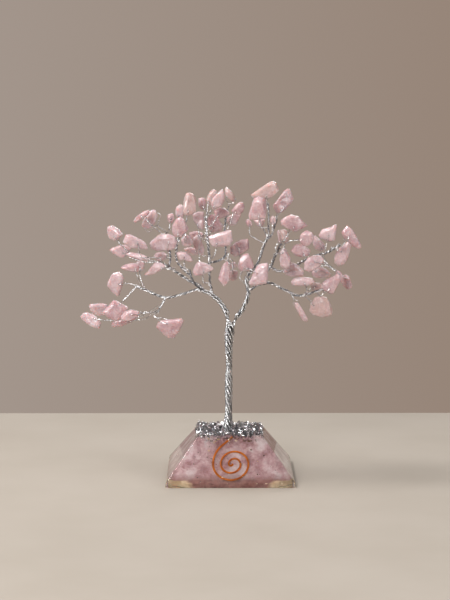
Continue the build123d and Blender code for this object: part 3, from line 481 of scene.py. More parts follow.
def neighbours(members, pairs):
    """For each member, the others that a pair joins it to."""
    links = {member: set() for member in members}
    for a, b in pairs.tolist():
        if a in links and b in links and a != b:
            links[a].add(b)
            links[b].add(a)
    return links


def shared_places(points, size):
    """The count of places, where points as close as this have the same one, and each point's place."""
    keys, owner = np.unique(np.round(points / size).astype(np.int64), axis=0, return_inverse=True)
    return len(keys), owner.reshape(-1)


def merge_near(points, distance):
    """Give points that all but coincide one number, and return their middles."""
    _, owner = shared_places(points, distance)
    count = np.bincount(owner)
    middles = np.stack([np.bincount(owner, points[:, axis]) / count for axis in range(3)], 1)
    tree = KDTree(len(middles))
    for index, middle in enumerate(middles):
        tree.insert(middle, index)
    tree.balance()
    close = [(index, other) for index, middle in enumerate(middles)
             for _, other, _ in tree.find_range(middle, distance)]
    return np.array(groups_of(len(middles), np.array(close)))[owner], middles


def longest_way(start, links, middles):
    """Distances from one middle along the links, and the way to the farthest."""
    far = {start: 0.0}
    before = {}
    queue = [(0.0, start)]
    while queue:
        distance, here = heapq.heappop(queue)
        if distance > far[here]:
            continue
        for there in links[here]:
            reach = distance + float(np.linalg.norm(middles[here] - middles[there]))
            if reach < far.get(there, 1e9):
                far[there] = reach
                before[there] = here
                heapq.heappush(queue, (reach, there))
    end = max(far, key=far.get)
    way = [end]
    while way[-1] != start:
        way.append(before[way[-1]])
    return far, way


WIRE_RADII = {"loop": 0.2, "pair": 0.44, "twig": 0.55, "branch": 0.8}
SAME = 0.006
SAME_RING = 0.03
SAME_PLACE = 0.002
SHORTEST_LINE = 1.5


def share_of_ring(places, normals, edges, radius):
    """Which points have the same middle as a neighbour, or lie on a straight run with one that has."""
    first, second = edges[:, 0], edges[:, 1]
    apart = np.linalg.norm(places[first] - places[second], axis=1) > 2 * SAME
    middles = places - normals * radius
    step = middles[first] - middles[second]
    same = apart & (np.linalg.norm(step, axis=1) < SAME)
    on_ring = np.zeros(len(places), bool)
    on_ring[first[same]] = True
    on_ring[second[same]] = True
    for known, unknown in ((first, second), (second, first)) * 3:
        square = on_ring[known] & ~on_ring[unknown] & (np.abs((step * normals[unknown]).sum(1)) < SAME)
        on_ring[unknown[square]] = True
    return on_ring


def near_line(points, line, reach):
    """Which points lie within a distance of a line."""
    inside = ((points > line.min(0) - reach) & (points < line.max(0) + reach)).all(1)
    found = np.flatnonzero(inside)
    close = np.full(len(found), 1e9)
    for start, end in zip(line, line[1:]):
        along = end - start
        share = np.clip((points[found] - start) @ along / (along @ along), 0, 1)[:, None]
        close = np.minimum(close, np.linalg.norm(points[found] - start - share * along, axis=1))
    return found[close < reach]


def tube_lines(node, radii=WIRE_RADII):
    """The middle lines of all tubes in a node, by kind of wire, the thinnest first."""
    places, normals, edges, _ = surface(node)
    free = np.ones(len(places), bool)
    lines = {}
    for kind, radius in radii.items():
        usable = edges[free[edges].all(1)]
        chosen = np.flatnonzero(share_of_ring(places, normals, usable, radius))
        if len(chosen) == 0:
            continue
        leaders, middles = merge_near(places[chosen] - normals[chosen] * radius, SAME_RING)
        leader_of = np.full(len(places), -1)
        leader_of[chosen] = leaders
        links = neighbours(set(leaders.tolist()), leader_of[usable])
        left = set(links)
        lines[kind] = []
        while left:
            far, way = longest_way(next(iter(left)), links, middles)
            left -= set(far)
            far, way = longest_way(way[0], links, middles)
            if far[way[0]] > SHORTEST_LINE:
                lines[kind].append(middles[way])
        for line in lines[kind]:
            free[near_line(places, line, radius + SAME_RING)] = False
    return lines


wire_nodes = sorted(name for name in frame["nodes"] if name.endswith(("_branch_wires", "_limb_wires")))
node_lines = {node: tube_lines(node) for node in wire_nodes}
for node, lines in node_lines.items():
    print(node, {kind: len(found) for kind, found in lines.items()})

# %% [markdown]
# The trunk and the limbs are bars with lobes, so one radius inwards isn't their middle. But their surface
# is made of rings. From the flat lower end, the neighbours of each ring are the next ring.

# %% Lines of the lobed bars
def ring_line(node):
    """Middles and mean radii of a lobed bar's rings, from its lower flat end to the other."""
    places, _, edges, _ = surface(node)
    count, owner = shared_places(places, SAME_PLACE)
    points = np.array([places[owner == index].mean(0) for index in range(count)])
    links = neighbours(range(count), owner[edges])
    flats = {}
    for index, patch in enumerate(groups_of(len(places), edges)):
        flats.setdefault(patch, set()).add(int(owner[index]))
    start = min((flat for flat in flats.values() if len(flat) > 4),
                key=lambda flat: points[list(flat), 2].mean())
    ring, seen, middles, radii = set(start), set(start), [], []
    while ring:
        corners = points[list(ring)]
        middles.append(corners.mean(0))
        radii.append(np.linalg.norm(corners - middles[-1], axis=1).mean())
        ring = {there for here in ring for there in links[here]} - seen
        seen |= ring
    return np.array(middles), np.array(radii)


bars = {name: ring_line(f"{name}_wires") for name in ("trunk", "left_limb", "right_limb")}
for name, (middles, radii) in bars.items():
    print(name, "rings", len(middles), "radius", radii.min().round(2), "to", radii.max().round(2),
          "from", middles[0].round(1), "to", middles[-1].round(1))

# %% [markdown]
# ## Twisting wire
# Each chip hangs on one thin wire, bent double through its hole and twisted with itself back to the
# branch. Several such pairs twisted together make a twig or a branch, and all of them the trunk. So a
# strand is laid round a line as a left-handed helix, and can itself be the line for a finer twist. A
# curve with a bevel would give one smooth wire quickly, but the twist is what one sees, so it is drawn.

# %% Lay strands and draw wire
WIRE = 0.2
STEP = 0.32
PAIR_TURN = 3.0


def lengths_along(line):
    """How far along a line each of its points lies."""
    return np.concatenate([[0], np.cumsum(np.linalg.norm(np.diff(line, axis=0), axis=1))])


def even_steps(line, step):
    """The line with points at even distances."""
    lengths = lengths_along(line)
    count = max(3, int(ceil(lengths[-1] / step)) + 1)
    marks = np.linspace(0, lengths[-1], count)
    return np.stack([np.interp(marks, lengths, line[:, axis]) for axis in range(3)], 1)


def softened(line, rounds=2):
    """Corners eased by averaging neighbours; the ends stay."""
    line = line.copy()
    for _ in range(rounds):
        line[1:-1] = (line[:-2] + 2 * line[1:-1] + line[2:]) / 4
    return line


def frames_along(line):
    """Directions along a line, and two square to them that don't twist."""
    ahead = np.gradient(line, axis=0)
    ahead /= np.linalg.norm(ahead, axis=1)[:, None]
    side = np.empty_like(line)
    first = np.cross(ahead[0], (0.0, 1.0, 0.0))
    if np.linalg.norm(first) < 0.2:
        first = np.cross(ahead[0], (1.0, 0.0, 0.0))
    side[0] = first / np.linalg.norm(first)
    for index in range(1, len(line)):
        turned = side[index - 1] - ahead[index] * (side[index - 1] @ ahead[index])
        side[index] = turned / np.linalg.norm(turned)
    return ahead, side, np.cross(ahead, side)


def lay_round(line, offset, angle, turn_length, end_angle=None):
    """A left-handed helix round a line; offset may be a number or one for each point."""
    _, side, up = frames_along(line)
    angles = angle - 2 * pi * lengths_along(line) / turn_length
    if end_angle is not None:
        angles += end_angle - angles[-1]
    reach = np.broadcast_to(offset, len(line))[:, None]
    return line + reach * (np.cos(angles)[:, None] * side + np.sin(angles)[:, None] * up)


def new_piece(name, points, faces, materials, body="tree", replaced=(), choice=None,
              smooth=True):
    """A mesh piece from points in millimetres, which rides on a body and stands for CAD nodes."""
    mesh = bpy.data.meshes.new(name)
    mesh.from_pydata((np.asarray(points) * MM).tolist(), [], faces)
    mesh.update()
    for material in materials:
        mesh.materials.append(material)
    if choice is not None:
        mesh.polygons.foreach_set("material_index", choice)
    if smooth:
        mesh.shade_smooth()
    piece = placed(name, mesh)
    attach(piece, body)
    if replaced:
        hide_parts(*replaced)


def wires_mesh(lines, radius, sides=7):
    """Round wires along lines, as points and faces."""
    points, faces = [], []
    circle = np.array([(cos(2 * pi * k / sides), sin(2 * pi * k / sides)) for k in range(sides)])
    total = 0
    for line in lines:
        _, side, up = frames_along(line)
        rings = (line[:, None] + radius * (circle[None, :, 0, None] * side[:, None]
                                           + circle[None, :, 1, None] * up[:, None]))
        points.append(rings.reshape(-1, 3))
        for ring in range(len(line) - 1):
            low = total + ring * sides
            for k in range(sides):
                after = (k + 1) % sides
                faces.append((low + k, low + after, low + sides + after, low + sides + k))
        faces.append(tuple(range(total + sides - 1, total - 1, -1)))
        last = total + (len(line) - 1) * sides
        faces.append(tuple(range(last, last + sides)))
        total = last + sides
    return np.concatenate(points), faces


DULL_AND_SHADED_SHARE = 0.33


def wire_piece(name, wires, replaced=(), bright_count=0, sides=7):
    """Wires as one piece, some of them darker than the rest, as tarnish and painted shade, but not the
    first few.
    """
    points, faces = wires_mesh(wires, WIRE, sides)
    choice = []
    for number, wire in enumerate(wires):
        # About a third of the wires get the darker copy: partly tarnish, partly painted shade.
        dull_and_shaded = number >= bright_count and random.random() < DULL_AND_SHADED_SHARE
        choice += [int(dull_and_shaded)] * ((len(wire) - 1) * sides + 2)
    new_piece(name, points, faces, [silver, dull_and_shaded_silver], replaced=replaced,
              choice=choice)
    print(name, "wires", len(wires), "points", len(points))


def twisted_pairs(line, count, offset, turn_length, start=0.0, wander=0.06):
    """A rope of twisted pairs round a line: the middle lines of all their wires."""
    line = even_steps(line, STEP)
    wires = []
    for index in range(count):
        angle = start + 2 * pi * index / count
        reach = offset * (1 + random.uniform(-wander, wander))
        pair = lay_round(line, reach, angle, turn_length)
        phase = random.uniform(0, pi)
        wires += [lay_round(pair, WIRE, phase, PAIR_TURN), lay_round(pair, WIRE, phase + pi, PAIR_TURN)]
    return wires

# %% [markdown]
# ## Chip wires and branches
# A loop belongs to the pair whose end lies between its own two ends. The loop and the two wires of its
# pair are drawn as the one wire they are. Twigs are two pairs laid together and branches three. A branch
# starts at its end nearer to the trunk's fork, and is carried on into the wire that it leaves.

# %% Chip wires and branches
FORK = bars["trunk"][0][-1]
ROOT_SEARCH = 8.0
ROOT_MISS = 0.7
SAME_LINE = 0.01
ROPES = {"twig": (2, 0.30, 5.5), "branch": (3, 0.42, 8.0)}


def rooted(line, parents):
    """A line whose first end is carried on into the middle of the wire that it leaves."""
    ahead = (line[0] - line[1]) / np.linalg.norm(line[0] - line[1])
    steps = np.arange(0, ROOT_SEARCH, 0.2)
    tries = line[0] + steps[:, None] * ahead
    gaps = np.linalg.norm(tries[:, None] - parents[None], axis=2).min(1)
    best = int(gaps.argmin())
    if gaps[best] < ROOT_MISS:
        return np.concatenate([[tries[max(best, 1)]], line])
    nearest = parents[np.linalg.norm(parents - line[0], axis=1).argmin()]
    return np.concatenate([[nearest], line])


def chip_wire(loop, pairs, parents):
    """One wire: out along its pair, round through the chip, and back."""
    middle = (loop[0] + loop[-1]) / 2
    best = min(pairs, key=lambda pair: min(np.linalg.norm(pair[end] - middle) for end in (0, -1)))
    if np.linalg.norm(best[0] - middle) < np.linalg.norm(best[-1] - middle):
        best = best[::-1]
    gap = np.linalg.norm(best[-1] - middle)
    best = softened(even_steps(rooted(best, parents), STEP))
    _, side, up = frames_along(best)
    across = loop[0] - best[-1]
    angle = np.arctan2(across @ up[-1], across @ side[-1])
    out = lay_round(best, WIRE, 0.0, PAIR_TURN, angle)
    back = lay_round(best, WIRE, 0.0, PAIR_TURN, angle + pi)
    whole = np.concatenate([out, even_steps(loop, STEP)[1:-1], back[::-1]])
    return softened(whole, 1), gap


node_grown = {node: [even_steps(line, STEP) for kind in ROPES for line in lines.get(kind, [])]
              for node, lines in node_lines.items()}
for name in ("left_limb", "right_limb"):
    node_grown[f"{name}_wires"].append(even_steps(bars[name][0], STEP))
widest_gap = 0.0
for node in wire_nodes:
    lines = node_lines[node]
    wires = []
    for loop in lines.get("loop", []):
        wire, gap = chip_wire(loop, lines["pair"], np.concatenate(node_grown[node]))
        widest_gap = max(widest_gap, gap)
        wires.append(wire)
    chip_wires = len(wires)
    for kind, (count, offset, turn_length) in ROPES.items():
        for line in lines.get(kind, []):
            if np.linalg.norm(line[0] - FORK) > np.linalg.norm(line[-1] - FORK):
                line = line[::-1]
            others = [other for grown in node_grown.values() for other in grown
                      if min(np.linalg.norm(other[end] - line[0]) for end in (0, -1)) > SAME_LINE]
            line = rooted(line, np.concatenate(others))
            wires += twisted_pairs(softened(even_steps(line, STEP), 3), count, offset, turn_length)
    if wires:
        replaced = [node] if node.endswith("_branch_wires") else []
        wire_piece(node.replace("_wires", "_strands"), wires, replaced, chip_wires)
print("widest gap between a loop and its pair", round(widest_gap, 2), "mm")

# %% [markdown]
# ## Trunk and limbs
# The trunk is all the wires laid up together; at the fork some go left and the others right. It is drawn
# as seven bundles of four wires: enough to read as a rope at this size. Every bundle runs up the trunk
# and on into a limb without a break. A third of the wires are darker, partly as tarnish and partly as
# painted shade for the dark strands. The core between the bundles is painted near black as the shade in
# the gaps, because a rope of equally bright wires looks like one smooth tube. The rope swells and
# narrows a little along its height, as one that was twisted by hand does.

# %% Run every bundle up the trunk and into its limb
STEPS_BETWEEN = 8


def smooth_curve(points, values, step):
    """An even curve through points (Catmull-Rom), with a value carried along it."""
    padded = np.concatenate([[2 * points[0] - points[1]], points, [2 * points[-1] - points[-2]]])
    dense, carried = [], []
    for index in range(len(points) - 1):
        a, b, c, d = padded[index:index + 4]
        for share in np.linspace(0, 1, STEPS_BETWEEN, endpoint=False):
            dense.append(0.5 * (2 * b + (c - a) * share + (2 * a - 5 * b + 4 * c - d) * share ** 2
                                + (3 * b - a - 3 * c + d) * share ** 3))
            carried.append(values[index] * (1 - share) + values[index + 1] * share)
    dense.append(points[-1])
    carried.append(values[-1])
    dense, carried = np.array(dense), np.array(carried)
    lengths = lengths_along(dense)
    marks = np.linspace(0, lengths[-1], int(ceil(lengths[-1] / step)) + 1)
    even = np.stack([np.interp(marks, lengths, dense[:, axis]) for axis in range(3)], 1)
    return even, np.interp(marks, lengths, carried)


BUNDLE = 0.5
BUNDLE_WIRES = 4
BUNDLE_REACH = 0.3
BUNDLES = {"left_limb": 4, "right_limb": 3}
BUNDLE_TURN = 7.0
TRUNK_TURN = 23.0
LIMB_TURN = 13.0
FORK_BELOW = 2.6
FORK_ABOVE = 3.4
LIMB_SWELL = ((0, 4, 9), (1.25, 1.25, 1.1))
CORE_SHARE = 0.5
LIMB_CORE_SHARE = 0.35
SPARSE = 5
SWELL_HEIGHTS = (0, 28, 33, 38, 43, 50, 56, 61, 66, 71, 76)
SWELL_SHARES = (1.2, 1.2, 1.04, 1.0, 1.16, 1.08, 0.92, 0.96, 1.16, 1.2, 1.2)


def bundle_wires(line):
    """Four wires twisted round a line."""
    phase = random.uniform(0, pi)
    return [lay_round(line, BUNDLE_REACH, phase + quarter * pi / 2, BUNDLE_TURN)
            for quarter in range(BUNDLE_WIRES)]


trunk_line, trunk_radius = smooth_curve(*bars["trunk"], STEP)
trunk_radius = trunk_radius * np.interp(trunk_line[:, 2], SWELL_HEIGHTS, SWELL_SHARES)
bundle_count = sum(BUNDLES.values())
trunk_strands = [lay_round(trunk_line, trunk_radius - BUNDLE * random.uniform(0.9, 1.25),
                           2 * pi * index / bundle_count, TRUNK_TURN) for index in range(bundle_count)]
strand_tops = sorted(range(bundle_count), key=lambda index: trunk_strands[index][-1][0])
trunk_end = len(trunk_line) - int(FORK_BELOW / STEP)
limb_start = int(FORK_ABOVE / STEP)
big_wires, core_bars = [], [(trunk_line[:trunk_end], trunk_radius[:trunk_end] * CORE_SHARE)]
for name, chosen in (("left_limb", strand_tops[:BUNDLES["left_limb"]]),
                     ("right_limb", strand_tops[BUNDLES["left_limb"]:])):
    line, radius = smooth_curve(*bars[name], STEP)
    radius = radius * np.interp(np.arange(len(line)) * STEP, *LIMB_SWELL)
    core_bars.append((line[limb_start:], radius[limb_start:] * LIMB_CORE_SHARE))
    _, side, up = frames_along(line)
    tops = [trunk_strands[index][-1] - line[0] for index in chosen]
    around = [float(np.arctan2(top @ up[0], top @ side[0])) for top in tops]
    order = np.argsort(around)
    shift = float(np.angle(np.mean([np.exp(1j * (around[member] - 2 * pi * place / len(chosen)))
                                    for place, member in enumerate(order)])))
    for place, member in enumerate(order):
        angle = shift + 2 * pi * place / len(chosen)
        limb_strand = lay_round(line, radius - BUNDLE * random.uniform(0.9, 1.15), angle, LIMB_TURN)
        below = trunk_strands[chosen[member]][:trunk_end:SPARSE]
        above = limb_strand[limb_start::SPARSE]
        joined, _ = smooth_curve(np.concatenate([below, above]), np.zeros(len(below) + len(above)), STEP)
        big_wires += bundle_wires(joined)
wire_piece("trunk_and_limb_strands", big_wires, ["trunk_wires", "left_limb_wires", "right_limb_wires"])


def bar_mesh(bars_with_radii, sides=12):
    """Plain round bars whose radius changes along them."""
    points, faces, total = [], [], 0
    turns = [2 * pi * k / sides for k in range(sides)]
    for line, radius in bars_with_radii:
        line, radius = line[::3], radius[::3]
        _, side, up = frames_along(line)
        for index in range(len(line)):
            points += [line[index] + radius[index] * (cos(turn) * side[index] + sin(turn) * up[index])
                       for turn in turns]
        for ring in range(len(line) - 1):
            low = total + ring * sides
            faces += [(low + k, low + (k + 1) % sides, low + sides + (k + 1) % sides, low + sides + k)
                      for k in range(sides)]
        faces.append(tuple(range(total + sides - 1, total - 1, -1)))
        total += len(line) * sides
        faces.append(tuple(range(total - sides, total)))
    return np.array(points), faces


# The core under the bundles wears the near-black silver: painted shade.
points, faces = bar_mesh(core_bars)
new_piece("trunk_core", points, faces, [painted_shade_silver])

# %% [markdown]
# ## Tumbled chips
# The solid chips have flat facets. A tumbled stone keeps such facets but has soft edges and shallow
# dents. Each solid chip is closed up, remeshed finely, shaved by a few random flats, smoothed a little
# and dented by slow noise, always inwards, so that the wires still clear it. Then its hole is drilled
# again, on the line that the solid hole's wall gives.

# %% Chips
HOLE = 0.3
VOXEL = 0.28
DRILL = 40
FLATS = 6
FLAT_LEAN = 0.75
FLAT_HEIGHTS = (0.84, 0.97)
DEEPEST_DENT = 0.4


def chip_solids(node):
    """Each chip of a node: points, triangles without the hole's wall, the hole's middle and direction."""
    places, normals, edges, triangles = surface(node)
    first, second = edges[:, 0], edges[:, 1]
    curved = np.linalg.norm(normals[first] - normals[second], axis=1) > 0.02
    on_wall = np.zeros(len(places), bool)
    on_wall[first[curved]] = True
    on_wall[second[curved]] = True
    count, owner = shared_places(places, SAME_PLACE)
    groups = np.array(groups_of(count, owner[edges]))[owner]
    chips = []
    for group in sorted(set(groups.tolist()), key=lambda group: tuple(places[groups == group].mean(0))):
        wall = np.flatnonzero(on_wall & (groups == group))
        middles = places[wall] + normals[wall] * HOLE
        middle = (middles.max(0) + middles.min(0)) / 2
        direction = np.linalg.svd(middles - middles.mean(0))[2][0]
        shell = [tuple(int(owner[corner]) for corner in triangle) for triangle in triangles
                 if groups[triangle[0]] == group and not on_wall[list(triangle)].all()]
        used = sorted({corner for triangle in shell for corner in triangle})
        renumber = {old: new for new, old in enumerate(used)}
        points = np.array([places[np.flatnonzero(owner == old)[0]] for old in used])
        chips.append((points, [tuple(renumber[corner] for corner in triangle) for triangle in shell],
                      middle, direction))
    return chips


def worked_mesh(mesh, *modifiers):
    """The mesh after modifiers, each a type with its settings."""
    piece = placed("work", mesh)
    for kind, settings in modifiers:
        modifier = piece.modifiers.new(kind, kind)
        for setting, value in settings.items():
            setattr(modifier, setting, value)
    evaluated = piece.evaluated_get(bpy.context.evaluated_depsgraph_get())
    result = bpy.data.meshes.new_from_object(evaluated)
    bpy.data.objects.remove(piece)
    return result


def points_of(mesh):
    """The points of a mesh in millimetres."""
    return numbers_of(mesh.vertices, "co", 3).astype(float) / MM


def move_points(mesh, places):
    """Put the points of a mesh at places in millimetres."""
    mesh.vertices.foreach_set("co", (places * MM).astype(np.float32).ravel())


def tumbled(points, triangles):
    """A chip with soft edges, extra flats and shallow dents, in millimetres."""
    shell = bmesh.new()
    corners = [shell.verts.new(point * MM) for point in points]
    for triangle in triangles:
        shell.faces.new([corners[index] for index in triangle])
    bmesh.ops.holes_fill(shell, edges=[edge for edge in shell.edges if edge.is_boundary])
    bmesh.ops.triangulate(shell, faces=shell.faces)
    mesh = bpy.data.meshes.new("chip_shell")
    shell.to_mesh(mesh)
    shell.free()
    fine = worked_mesh(mesh, ("REMESH", {"mode": "VOXEL", "voxel_size": VOXEL * MM}))
    places = points_of(fine)
    middle = places.mean(0)
    thin = np.linalg.svd(points - points.mean(0), full_matrices=False)[2][2]
    for _ in range(FLATS):
        lean = thin * random.choice((-1, 1))
        lean = lean + np.array([random.uniform(-FLAT_LEAN, FLAT_LEAN) for _ in range(3)])
        lean /= np.linalg.norm(lean)
        height = (places - middle) @ lean
        over = height - height.max() * random.uniform(*FLAT_HEIGHTS)
        places -= np.clip(over, 0, None)[:, None] * lean
    move_points(fine, places)
    eased = worked_mesh(fine, ("SMOOTH", {"factor": 0.5, "iterations": 2}))
    places = points_of(eased)
    dents = np.array([0.16 * noise.noise(Vector(place) * 0.45) + 0.07 * noise.noise(Vector(place) * 1.3)
                      for place in places]) - 0.05
    places += numbers_of(eased.vertices, "normal", 3) * np.clip(dents, -DEEPEST_DENT, 0)[:, None]
    move_points(eased, places)
    return eased


def drilled(mesh, middle, direction):
    """The chip with its hole."""
    drill = bmesh.new()
    bmesh.ops.create_cone(drill, cap_ends=True, segments=16, radius1=HOLE * MM, radius2=HOLE * MM,
                          depth=DRILL * MM)
    drill_mesh = bpy.data.meshes.new("drill")
    drill.to_mesh(drill_mesh)
    drill.free()
    tool = placed("drill", drill_mesh)
    turn = Vector((0, 0, 1)).rotation_difference(Vector(direction)).to_matrix().to_4x4()
    tool.matrix_world = Matrix.Translation(Vector(middle) * MM) @ turn
    bpy.context.view_layer.update()
    result = worked_mesh(
        mesh, ("BOOLEAN", {"operation": "DIFFERENCE", "object": tool, "solver": "MANIFOLD"}))
    bpy.data.objects.remove(tool)
    return result


chip_nodes = sorted(name for name in frame["nodes"] if "_chip" in name)
chip_count = 0
for node in chip_nodes:
    points, faces, choice, total = [], [], [], 0
    for shell_points, triangles, middle, direction in chip_solids(node):
        mesh = drilled(tumbled(shell_points, triangles), middle, direction)
        points.append(points_of(mesh))
        faces += [tuple(total + corner for corner in face.vertices) for face in mesh.polygons]
        choice += [random.choice((0, 0, 0, 1, 1, 2))] * len(mesh.polygons)
        total += len(mesh.vertices)
        chip_count += 1
    new_piece(node + "_stone", np.concatenate(points), faces, quartz_finishes,
              frame["nodes"][node]["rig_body"], [node], choice)
print("chips", chip_count)

# %% [markdown]
# ## The cast pyramid
# The casting is a clear block with a low upright lip and four sloping sides. A mould gives it flat faces
# and slightly rounded edges, which catch the light as bright lines, so only the edges are bevelled and
# the faces are shaded flat.

# %% Clear casting
LIP = 3.0
LIP_DRAFT = 0.5
TOP_SIDE = 33.0
BASE_SIDE = (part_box("resin_base")[1].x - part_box("resin_base")[0].x) / MM
BASE_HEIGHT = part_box("resin_base")[1].z / MM
EDGE = 0.45
EDGE_STEPS = 5


def half_width(height, inset=0.0):
    """Half the casting's side at a height."""
    if height < LIP:
        return BASE_SIDE / 2 - LIP_DRAFT * height / LIP - inset
    rise = (height - LIP) / (BASE_HEIGHT - LIP)
    return (BASE_SIDE / 2 - LIP_DRAFT) * (1 - rise) + TOP_SIDE / 2 * rise - inset


def taken(shape):
    """The points and faces of a bmesh, which is then done with."""
    shape.verts.index_update()
    points = np.array([list(vertex.co) for vertex in shape.verts])
    faces = [tuple(vertex.index for vertex in face.verts) for face in shape.faces]
    shape.free()
    return points, faces


casting = bmesh.new()
rings = [[casting.verts.new((x * half_width(height) * MM, y * half_width(height) * MM, height * MM))
          for x, y in ((-1, -1), (1, -1), (1, 1), (-1, 1))] for height in (0.0, LIP, BASE_HEIGHT)]
casting.faces.new(rings[0][::-1])
casting.faces.new(rings[-1])
for lower, upper in zip(rings, rings[1:]):
    for index in range(4):
        casting.faces.new((lower[index], lower[(index + 1) % 4], upper[(index + 1) % 4], upper[index]))
bmesh.ops.bevel(casting, geom=casting.edges[:], offset=EDGE * MM, segments=EDGE_STEPS, profile=0.5,
                affect="EDGES")
points, faces = taken(casting)
new_piece("clear_casting", points / MM, faces, [clear_resin],
          replaced=["resin_base"], smooth=False)
print("casting", round(BASE_SIDE, 1), "by", round(BASE_HEIGHT, 1))

# %% [markdown]
# Inside lies the crushed quartz, close under the surface. It is one lumpy mass here: at this size its
# separate grains show only as creases and clouds, and thousands of real ones would add nothing. A finely
# cut cube is pressed into the shape of the casting, a little smaller, with its corners cut off. Then
# cells like gravel press creases into it. The mass stays further in at the front, where the spiral lies.

# %% Crushed quartz
MASS_CUTS = 84
CREASE_DEPTH = 0.45
SKIN = 1.5
FRONT_SKIN = 3.0
LIP_SKIN = 1.1
LIP_STEP = 0.7
CUT_CORNER = 1.6
LIP_CUT_CORNER = 9.0
MASS_FLOOR = 0.06
MASS_ROOF = 1.3


def mass_place(x, y, z):
    """Where a point of a cube from -1 to 1 comes to lie in the block of crushed stone."""
    height = MASS_FLOOR + (BASE_HEIGHT - MASS_ROOF - MASS_FLOOR) * (z + 1) / 2
    in_lip = height < LIP - LIP_STEP
    reach = half_width(height, LIP_SKIN if in_lip else SKIN)
    front = reach if in_lip else reach + SKIN - FRONT_SKIN
    inward = 1 - max(0.0, abs(x) + abs(y) - 2 + (LIP_CUT_CORNER if in_lip else CUT_CORNER) / reach) / 2
    return Vector((x * reach * inward, y * (front if y < 0 else reach) * inward, height))


mass = bmesh.new()
bmesh.ops.create_cube(mass, size=2)
bmesh.ops.subdivide_edges(mass, edges=mass.edges[:], cuts=MASS_CUTS, use_grid_fill=True)
for vertex in mass.verts:
    place = mass_place(*vertex.co)
    distances, _ = noise.voronoi(place * 0.32)
    crease = max(0.0, 1 - (distances[1] - distances[0]) * 5)
    sink = CREASE_DEPTH * crease + 0.2 * noise.noise(place * 0.3) + 0.15 * noise.noise(place * 1.1)
    inwards = Vector((-place.x, -place.y, 8.0 - place.z)).normalized()
    vertex.co = place + inwards * max(sink, -0.1)
    vertex.co.z = max(vertex.co.z, MASS_FLOOR)
points, faces = taken(mass)
new_piece("crushed_quartz_mass", points, faces, [quartz_mass_finish],
          replaced=["crushed_quartz"])
print("mass faces", len(faces))

# %% [markdown]
# Small air bubbles and flecks of mineral, brown and gold, hang in the clear skin over the crushed stone.
# They are scattered over the four sloping sides, with most flecks near the upper edges. Such a casting
# is poured upside down, so that is where heavy grains sink to. A bubble is a slightly flattened ball, and
# a fleck is the hull of a few scattered points.

# %% Bubbles and flecks
SIDE_TILT = 0.79
OFF_EDGE = 2.0
BUBBLES = 150
FLECKS = 180
BUBBLE_SIZES = (0.12, 0.16, 0.2, 0.3, 0.42)
HULL_POINTS = 12


def skin_spot(side, across, height, depth):
    """A point a little way under one of the four sloping sides."""
    reach = half_width(height) - depth / SIDE_TILT
    spot = Vector((across * (reach - OFF_EDGE), -reach, height))
    return Matrix.Rotation(side * pi / 2, 3, "Z") @ spot


def scattered(count, make, finishes, name, smooth):
    """Many small bodies as one piece, in turn in each finish; make gives each one's points and faces."""
    points, faces, choice, total = [], [], [], 0
    for number in range(count):
        body, body_faces = make(number)
        choice += [number // 4 % len(finishes)] * len(body_faces)
        points.append(body)
        faces += [tuple(total + corner for corner in face) for face in body_faces]
        total += len(body)
    new_piece(name, np.concatenate(points), faces, finishes, choice=choice, smooth=smooth)
    print(name, count)


ball = bmesh.new()
bmesh.ops.create_icosphere(ball, subdivisions=2, radius=1)
ball_points, ball_faces = taken(ball)


def bubble(number):
    """A ball in the skin of the side with this number."""
    size = random.choice(BUBBLE_SIZES) * random.uniform(0.8, 1.1)
    spot = skin_spot(number % 4, random.uniform(-0.92, 0.92), random.uniform(2.5, 21.5),
                     random.uniform(0.6, 1.3))
    return ball_points * size * np.array([1, 1, random.uniform(0.7, 1)]) + np.array(spot), ball_faces


def fleck(number):
    """A small sharp-edged grain in the skin of the side with this number."""
    size = random.uniform(0.35, 0.95)
    height = random.choice((1.9, 20.6, 21.1, 21.7, random.uniform(3, 21)))
    spot = skin_spot(number % 4, random.uniform(-0.95, 0.95), height, random.uniform(0.7, 1.4))
    stretch = np.array([random.uniform(0.5, 1.2), random.uniform(0.4, 1.0), random.uniform(0.3, 0.8)])
    few = ball_points[:HULL_POINTS]
    rough = np.array([1 + 0.35 * noise.noise(Vector(corner) * 2 + spot) for corner in few])
    hull = bmesh.new()
    for corner in few * rough[:, None] * stretch * size:
        hull.verts.new(corner)
    bmesh.ops.convex_hull(hull, input=hull.verts)
    body, body_faces = taken(hull)
    return body + np.array(spot), body_faces


scattered(BUBBLES, bubble, [bubble_finish], "bubbles", True)
scattered(FLECKS, fleck, [fleck_finish, bright_fleck_finish], "mineral_flecks", False)

# %% [markdown]
# The spiral is a copper wire of about a millimetre, wound flat and cast in close under the front face.
# The solid model has it as a tube, so its line is read like the thin wires' lines, made smoother, and
# drawn again with more sides.

# %% Copper spiral
COPPER_WIRE = 0.55
[spiral_line] = tube_lines("copper_spiral", {"spiral": COPPER_WIRE})["spiral"]
spiral_line = softened(even_steps(spiral_line, 0.4), 4)
points, faces = wires_mesh([spiral_line], COPPER_WIRE, 14)
new_piece("copper_spiral_wire", points, faces, [copper], replaced=["copper_spiral"])
print("spiral", len(spiral_line), "rings")

# %% [markdown]
# ## Metal shavings
# The top is strewn with curled shavings, the kind that come off a lathe or a pot scourer. Each is a thin
# ribbon wound into a short loose helix. More than a thousand of them, tipped at random, make the
# glittering mat. Those at its rim hang over the edge a little. Most of those that lie lowest, and about a
# third of the others, get a dark copy of the metal: painted shade, for the shade under the rest.
# A few more are sunk in the resin under the front edge.

# %% Shavings
SHAVINGS = 1300
SUNK_SHAVINGS = 26
SHADED_BELOW = 0.1
LOW_SHADED, HIGH_SHADED = 0.75, 0.36
LIFTS = (0.02, 0.02, 0.25, 0.5, 0.8)
OVERHANG_DROP = 1.2
SUNK_SIZE = 0.8
THICK = 0.08


